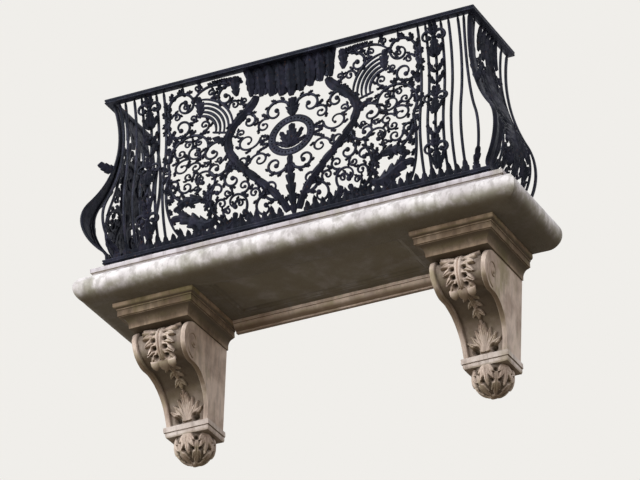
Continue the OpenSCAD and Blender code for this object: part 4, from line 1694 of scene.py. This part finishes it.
@dataclass(frozen=True)
class Carving:
    """Carved leaves, alike left and right: their lobes and the drill holes between them.

    A hole is (across, down, radius, how many radii its slope reaches).
    """

    lobes: Sequence[Lobe]
    holes: Sequence[tuple[float, float, float, float]]

    def at(self, x: float, s: float) -> Flat:
        """Height of the highest lobe at a point, and how deep in a hole it lies."""
        x = abs(x)
        best = max(lobe.height(x, s) for lobe in self.lobes)
        hole = max(reach - math.hypot(x - hx, s - hs) / r for hx, hs, r, reach in self.holes)
        return max(0.0, best), min(1.0, max(0.0, hole))


@dataclass(frozen=True)
class Console:
    """One carved scroll console: cap, S-shaped body, acanthus, band and leafy pendant."""

    hand: Hand
    stone: Material
    band_stone: Material
    head_stone: Material
    scroll_r: float = 104 * MM
    shank_r: float = 180 * MM
    shank_out: float = 190 * MM
    band_out: float = 12 * MM
    rim_w: float = 28 * MM
    sink: float = 16 * MM
    hole_depth: float = 24 * MM
    lip: float = 312 * MM
    root: float = 660 * MM

    def node(self, part: str) -> str:
        """Name of one of this console's CAD nodes."""
        return f"console_{part}_{self.hand.word}"

    @property
    def centre(self) -> float:
        """Middle of the console along the wall."""
        low, high = box_of(self.node("body"))
        return (low.x + high.x) / 2

    @property
    def foot_w(self) -> float:
        """Width of the body at its lower end, read from the band that ends it."""
        low, high = box_of(self.node("band"))
        return high.x - low.x - 2 * self.band_out

    @property
    def hub(self) -> Flat:
        """Middle of the front scroll, as (out, height)."""
        low, high = box_of(self.node("body"))
        return -low.y - self.scroll_r, high.z - self.scroll_r

    def half(self, z: float) -> float:
        """Half the body's width at a height. It narrows downward."""
        low, high = box_of(self.node("body"))
        share = (z - low.z) / (high.z - low.z)
        return (self.foot_w + (high.x - low.x - self.foot_w) * share) / 2

    def outline(self) -> tuple[Path, Path, list[float]]:
        """The front of the body from the cap down: points (out, z), normals and run."""
        hub, pivot_x = self.hub, self.shank_out + self.shank_r
        both = self.scroll_r + self.shank_r
        pivot = (pivot_x, hub[1] - math.sqrt(both**2 - (pivot_x - hub[0]) ** 2))
        meet = math.degrees(math.atan2(pivot[1] - hub[1], pivot[0] - hub[0]))
        points, normals = [], []
        for middle, radius, start, end, steps, way in (
            (hub, self.scroll_r, 90, meet, (0, 130), 1),
            (pivot, self.shank_r, meet + 180, 180, (1, 90), -1),
        ):
            for i in range(steps[0], steps[1] + 1):
                a = math.radians(start + (end - start) * i / steps[1])
                x, z = math.cos(a), math.sin(a)
                points.append((middle[0] + radius * x, middle[1] + radius * z))
                normals.append((way * x, way * z))
        foot = (self.shank_out, box_of(self.node("body"))[0].z)
        points += line((self.shank_out, pivot[1]), foot, 24)[1:]
        normals += [(1.0, 0.0)] * 24
        return points, normals, lengths(points)

    @functools.cached_property
    def foliage(self) -> Carving:
        """The leaf over the scroll, the husks down the hollow and the leaf at its foot."""
        lip, root = self.lip, self.root
        lobes = [Lobe((0.0, -0.01), (0.0, lip), 0.05, 0.03)]
        for i in range(6):
            tip = (0.104 - 0.008 * i, 0.052 + 0.046 * i)
            lobes.append(Lobe((0.0, 0.044 * i), tip, 0.05, 0.024))
        lobes.append(Lobe((0.0, 0.2), (0.05, lip - 0.002), 0.05, 0.028))
        for i in range(4):
            tip = (0.014 + 0.026 * i, root - 0.14 + 0.026 * i)
            lobes.append(Lobe((0.0, root), tip, 0.034, 0.018))
        lobes.append(Lobe((0.0, root), (0.0, root - 0.16), 0.034, 0.02))
        for i in range(3):
            s = lip + 0.055 + 0.05 * i
            lobes.append(Lobe((0.0, s - 0.024), (0.0, s + 0.036), 0.03, 0.016))
            lobes.append(Lobe((0.0, s - 0.02), (0.042 - 0.006 * i, s + 0.02), 0.026, 0.014))
        holes = [(0.036 - 0.002 * i, 0.062 + 0.047 * i, 0.01, 1.7) for i in range(5)]
        return Carving(lobes, [*holes, (0.047, root - 0.014, 0.014, 1.7)])

    def relief(self, x: float, s: float) -> Flat:
        """Height of the carving over the sunk field, and how hollow it is there.

        Args:
            x: Distance across from the middle.
            s: Distance down the front from the cap.

        Returns:
            Height in metres and hollowness from 0 to 1.
        """
        best, hole = self.foliage.at(x, s)
        # Painted shade: the valleys between the leaves darken, most in the middle of the hollow,
        # and the drill holes too.
        middle = min(1.0, max(0.0, s - self.lip + 0.01) / 0.03)
        middle *= min(1.0, max(0.0, self.root - 0.15 - s) / 0.03)
        valley = max(0.0, 1 - best / 0.01) * (0.62 + 0.2 * middle)
        return best - self.hole_depth * hole, max(hole, valley)

    def surface(self, x: float, s: float, inner: float) -> Flat:
        """Height of the body's front over its outline, and how hollow it is there.

        Args:
            x: Distance across from the middle.
            s: Distance down the front from the cap.
            inner: Half the width between the rims.

        Returns:
            Height in metres and hollowness from 0 to 1.
        """
        # The second value is painted shade, in the crease where the sunk field meets each rim.
        if abs(x) > inner:
            k = (abs(x) - inner) / self.rim_w
            roll = 2.5 * MM * (1 - math.sin(math.pi * min(1.0, k * 1.1)))
            return -self.sink * max(0.0, 1 - k * 5) ** 2 - roll, 0.8 * max(0.0, 1 - k * 6)
        height, deep = self.relief(x, s)
        return height - self.sink, max(deep, 0.7 * max(0.0, 1 - (inner - abs(x)) / 0.01))

    def body(self) -> None:
        """The S-shaped body with raised rims and carved foliage."""
        points, normals, run = self.outline()
        top, columns = box_of(self.node("body"))[1].z, 104
        rings, hollows = [], []
        for (out, z), (nx, nz), s in zip(points, normals, run):
            half = self.half(z)
            ring, depths = [], []
            for x in (-half + 2 * half * j / columns for j in range(columns + 1)):
                height, deep = self.surface(x, s, half - self.rim_w)
                spot = (self.centre + x, -(out + nx * height), min(z + nz * height, top))
                ring.append(worn(Vector(spot), 0.8 * MM, 30 * MM))
                depths.append(deep)
            ring += [Vector((self.centre + side * half, 0.0, z)) for side in (1, -1)]
            rings.append(ring)
            hollows.append(depths + [0.0, 0.0])
        shell = Shell()
        shell.skin(rings, hollows)
        for side in (-1, 1):

            def place(s: float, z: float, o: float, side: int = side) -> Vector:
                """Places on one slanting side of the body."""
                return Vector((self.centre + side * (self.half(z) + o), -s, z))

            pen = Pen(shell, place)
            path = spiral(self.hub, self.scroll_r * 0.8, self.scroll_r * 0.16, -95, 480)
            pen.bar(path, thinned(20 * MM, 0.6), 9 * MM, Section.ROD, 6 * MM)
            pen.eye(self.hub, 19 * MM, 0.45)
        self.turned_lip(shell, points, normals, run)
        nodes = (self.node("body"), self.node("leaf"))
        name = f"carved_console_{self.hand.word}"
        shell.deliver(name, self.stone, "stone", *nodes, crease=55)

    def turned_lip(self, shell: Shell, points: Path, normals: Path, run: list[float]) -> None:
        """The three leaf tips that turn out over the hollow, under the scroll."""
        for x, wide, long in ((0.0, 0.06, 0.05), (-0.046, 0.046, 0.036), (0.046, 0.046, 0.036)):
            rings = []
            for k in (i / 8 for i in range(9)):
                spot, _ = point_at(points, run, self.lip - 0.045 + long * k)
                normal, _ = point_at(normals, run, self.lip - 0.045 + long * k)
                lift = -self.sink + 0.016 + 0.02 * math.sin(math.pi * 0.5 * k)
                half = wide / 2 * math.sqrt(max(0.02, 1 - (0.2 + 0.8 * k) ** 4))
                ring = []
                for a in around(12):
                    rise = lift + 0.009 * math.sin(a)
                    out, z = (spot[c] + normal[c] * rise for c in (0, 1))
                    ring.append(Vector((self.centre + x + half * math.cos(a), -out, z)))
                rings.append(ring)
            shell.skin(rings)

    def collar(
        self, part: str, wide: float, shares: Iterable[Flat], arris: float, dirt: Sequence[float]
    ) -> Callable[[str, Material, str, str], None]:
        """A moulded block round the console.

        Args:
            part: The CAD node it follows.
            wide: Width of its core.
            shares: Its profile, as shares of its reach and height.
            arris: Size of the blunt edge at its top.
            dirt: How dark a painted shade each ring gets.

        Returns:
            The block's deliver method.
        """
        low, high = box_of(self.node(part))
        out, tall = (high.x - low.x - wide) / 2, high.z - low.z
        profile = [(out * a, low.z + tall * b) for a, b in shares]
        profile += [(out, high.z - arris), (out - arris, high.z)]
        return Moulding(self.centre, wide, -low.y - out, profile, dirt=dirt).deliver

    def cap(self) -> None:
        """The moulded block at the head: three fillets over a hollow."""
        low, high = box_of(self.node("body"))
        shares = [(0.0, 0.0), (0.12, 0.0), (0.12, 0.06)]
        shares += quarter((0.12, 0.08), (0.62, 0.44), False)
        shares += [(0.62, 0.46), (0.74, 0.47), (0.74, 0.7), (0.8, 0.71), (0.8, 0.76)]
        shares += quarter((0.8, 0.77), (1.0, 0.88), True)
        # Painted shade on the cap: darkest in its hollow, with light fillets between darker rings.
        dirt = [0.3, 0.1, 0.2, 0.6, 0.66, 0.66, 0.62, 0.55, 0.4, 0.0, 0.0, 0.45, 0.45, 0.0]
        dirt += [0.5, 0.5, 0.4, 0.3, 0.2]
        deliver = self.collar("cap", high.x - low.x, shares, 2 * MM, dirt)
        deliver(f"console_head_{self.hand.word}", self.head_stone, "stone", self.node("cap"))

    def band(self) -> None:
        """The moulded band under the body."""
        shares = [(0.1, 0.0), (0.35, 0.1), *quarter((0.35, 0.12), (0.5, 0.4), True)]
        shares += [(0.45, 0.44), (0.96, 0.48), *quarter((0.96, 0.5), (1.0, 0.72), True)]
        deliver = self.collar("band", self.foot_w, shares, 3 * MM, ())
        name = f"console_collar_{self.hand.word}"
        deliver(name, self.band_stone, "pale_stone", self.node("band"))

    @functools.cached_property
    def boss(self) -> tuple[Carving, Carving]:
        """The pendant's upper leaves, and the lower ones that show between them."""
        tips = ((0.046, 0.052), (0.038, 0.092))
        upper = [Lobe((0.0, -0.012), (0.0, 0.128), 0.036, 0.015)]
        upper += [Lobe((0.002, -0.006), tip, 0.034, 0.014) for tip in tips]
        lower = [Lobe((0.0, 0.04), (0.0, 0.205), 0.04, 0.011)]
        lower += [Lobe((0.0, 0.05), (0.022, 0.16), 0.026, 0.009)]
        return (
            Carving(upper, [(0.03, 0.098, 0.008, 1.6)]),
            Carving(lower, [(0.0, 0.036, 0.009, 1.7)]),
        )

    def boss_relief(self, lon: float, s: float, out: float) -> Flat:
        """Height of the pendant's carving over its core, and how hollow it is there.

        Args:
            lon: Angle round the pendant, in radians.
            s: Distance down from the band.
            out: Distance from the pendant's upright axis.

        Returns:
            Height in metres and hollowness from 0 to 1.
        """
        sixth = math.pi / 3
        upper, upper_hole = self.boss[0].at(((lon + sixth / 2) % sixth - sixth / 2) * out, s)
        lower, lower_hole = self.boss[1].at((lon % sixth - sixth / 2) * out, s)
        hole = max(upper_hole, lower_hole)
        knob = 0.015 * math.sqrt(max(0.0, 1 - (out / 0.024) ** 2))
        best = max(upper, lower, knob)
        # Painted shade in the drill holes and low between the leaves.
        return best - 0.018 * hole, max(hole, 0.75 * max(0.0, 1 - best / 0.007))

    def pendant(self) -> None:
        """The leafy boss under the band: two rows of leaves with drilled holes between them."""
        low, high = box_of(self.node("pendant"))
        r = (high.x - low.x) / 2
        core_r, rows = r * 0.86, 76
        centre = Vector((self.centre, -(self.shank_out + self.band_out) / 2, low.z + r))
        top = math.asin(min(1.0, (high.z - centre.z) / core_r))
        rings, hollows = [], []
        for lat in (top - (top + math.pi / 2 - 0.03) * i / rows for i in range(rows + 1)):
            ring, depths = [], []
            for lon in around(180):
                height, deep = self.boss_relief(lon, (top - lat) * r, r * math.cos(lat))
                x, y = math.sin(lon) * math.cos(lat), -math.cos(lon) * math.cos(lat)
                way = Vector((x, y, math.sin(lat)))
                p = worn(centre + way * (core_r + height), 0.5 * MM, 30 * MM)
                ring.append(Vector((p.x, min(p.y, 0.0), max(low.z, min(p.z, high.z)))))
                depths.append(deep)
            rings.append(ring)
            hollows.append(depths)
        shell = Shell()
        shell.skin(rings, hollows)
        name = f"leafy_pendant_{self.hand.word}"
        shell.deliver(name, self.stone, "stone", self.node("pendant"), crease=60)

    def build(self) -> None:
        """Makes the console."""
        self.body()
        self.cap()
        self.band()
        self.pendant()


# --- Studio ---


@dataclass(frozen=True)
class Studio:
    """A plain pale floor, soft light and the camera of the photograph."""

    eye_at: tuple[float, float, float] = (7.53, -18.7, -9.753)
    target: tuple[float, float, float] = (0.03, -0.33, 0.11)
    lens: float = 250.0
    roll: float = -3.4
    far: float = 200.0
    floor_z: float = -11.2
    floor_half: float = 16.0

    def aimed(self, data: bpy.types.ID, spot: Sequence[float]) -> Piece:
        """Puts a camera or a lamp in the scene, aimed at the balcony."""
        made = bpy.data.objects.new(data.name, data)
        made.location = spot
        aim = Vector(self.target) - Vector(spot)
        made.rotation_euler = aim.to_track_quat("-Z", "Y").to_euler()
        bpy.context.scene.collection.objects.link(made)
        return made

    def camera(self) -> None:
        """Aims a long lens from the photograph's place."""
        data = bpy.data.cameras.new("street_camera")
        data.lens = self.lens
        data.clip_end = self.far
        camera = self.aimed(data, self.eye_at)
        camera.rotation_euler.rotate_axis("Z", math.radians(self.roll))
        bpy.context.scene.camera = camera

    def lamp(self, name: str, spot: Sequence[float], size: float, power: float) -> None:
        """One soft lamp, size metres wide, of a power in watts."""
        data = bpy.data.lights.new(name, "AREA")
        data.size = size
        data.energy = power
        self.aimed(data, spot)

    def sky(self) -> None:
        """A pale backdrop, lit by a bright sky above and a dim warm street below."""
        world = bpy.data.worlds.new("studio")
        bpy.context.scene.world = world
        world.use_nodes = True
        tree = world.node_tree
        tree.nodes.clear()
        ray = add_node(tree, "ShaderNodeTexCoord").outputs["Generated"]
        height = add_node(tree, "ShaderNodeSeparateXYZ", {0: ray}).outputs["Z"]
        inputs = {"Value": height, "From Min": -0.25, "From Max": 0.55}
        above = add_node(tree, "ShaderNodeMapRange", inputs, interpolation_type="SMOOTHSTEP")
        inputs = {0: above.outputs[0], 6: linear("#6f5d48"), 7: linear("#f2f5fb")}
        tint = add_node(tree, "ShaderNodeMix", inputs, data_type="RGBA").outputs[2]
        light = add_node(tree, "ShaderNodeBackground", {"Color": tint, "Strength": 1.2})
        inputs = {"Color": linear("#f0eeea"), "Strength": 1.0}
        backdrop = add_node(tree, "ShaderNodeBackground", inputs)
        inputs = {0: watched(tree), 1: light.outputs[0], 2: backdrop.outputs[0]}
        mixed = add_node(tree, "ShaderNodeMixShader", inputs)
        add_node(tree, "ShaderNodeOutputWorld", {"Surface": mixed.outputs[0]})

    def floor(self) -> None:
        """A plain pale floor, far below."""
        far, z = self.floor_half, self.floor_z
        mesh = bpy.data.meshes.new("floor")
        corners = [(-far, -far, z), (far, -far, z), (far, far, z), (-far, far, z)]
        mesh.from_pydata(corners, [], [(0, 1, 2, 3)])
        mesh.materials.append(PLAIN_FLOOR.material())
        place_mesh("floor", mesh)

    def build(self) -> None:
        """Sets up camera, lamps, world and floor."""
        bpy.context.scene.view_settings.view_transform = "Standard"
        self.camera()
        self.lamp("key_lamp", (-5.0, -9.0, 9.0), 4.0, 850.0)
        self.lamp("street_lamp", (-10.0, -11.0, -3.0), 5.0, 900.0)
        self.lamp("fill_lamp", (9.0, -12.0, -4.0), 6.0, 160.0)
        self.sky()
        self.floor()


def main() -> None:
    """Builds the balcony piece by piece."""
    logging.basicConfig(level=logging.INFO, format="%(message)s")
    noise.seed_set(WEAR_SEED)
    iron, stone = PAINTED_IRON.material(), WEATHERED_STONE.material()
    head, band = SHADED_CAP_STONE.material(), BAND_STONE.material()
    sheet = Sheet.from_frame()
    Landing(WASHED_STONE.material(), stone, STEP_STONE.material()).build()
    for hand in Hand:
        Console(hand, stone, band, head).build()
    Rails(iron).build()
    Bars(sheet, iron, row_tree(iron)).build()
    Scrollwork(sheet, iron, bead_tree(iron)).build()
    Studio().build()


if __name__ == "__main__":
    main()
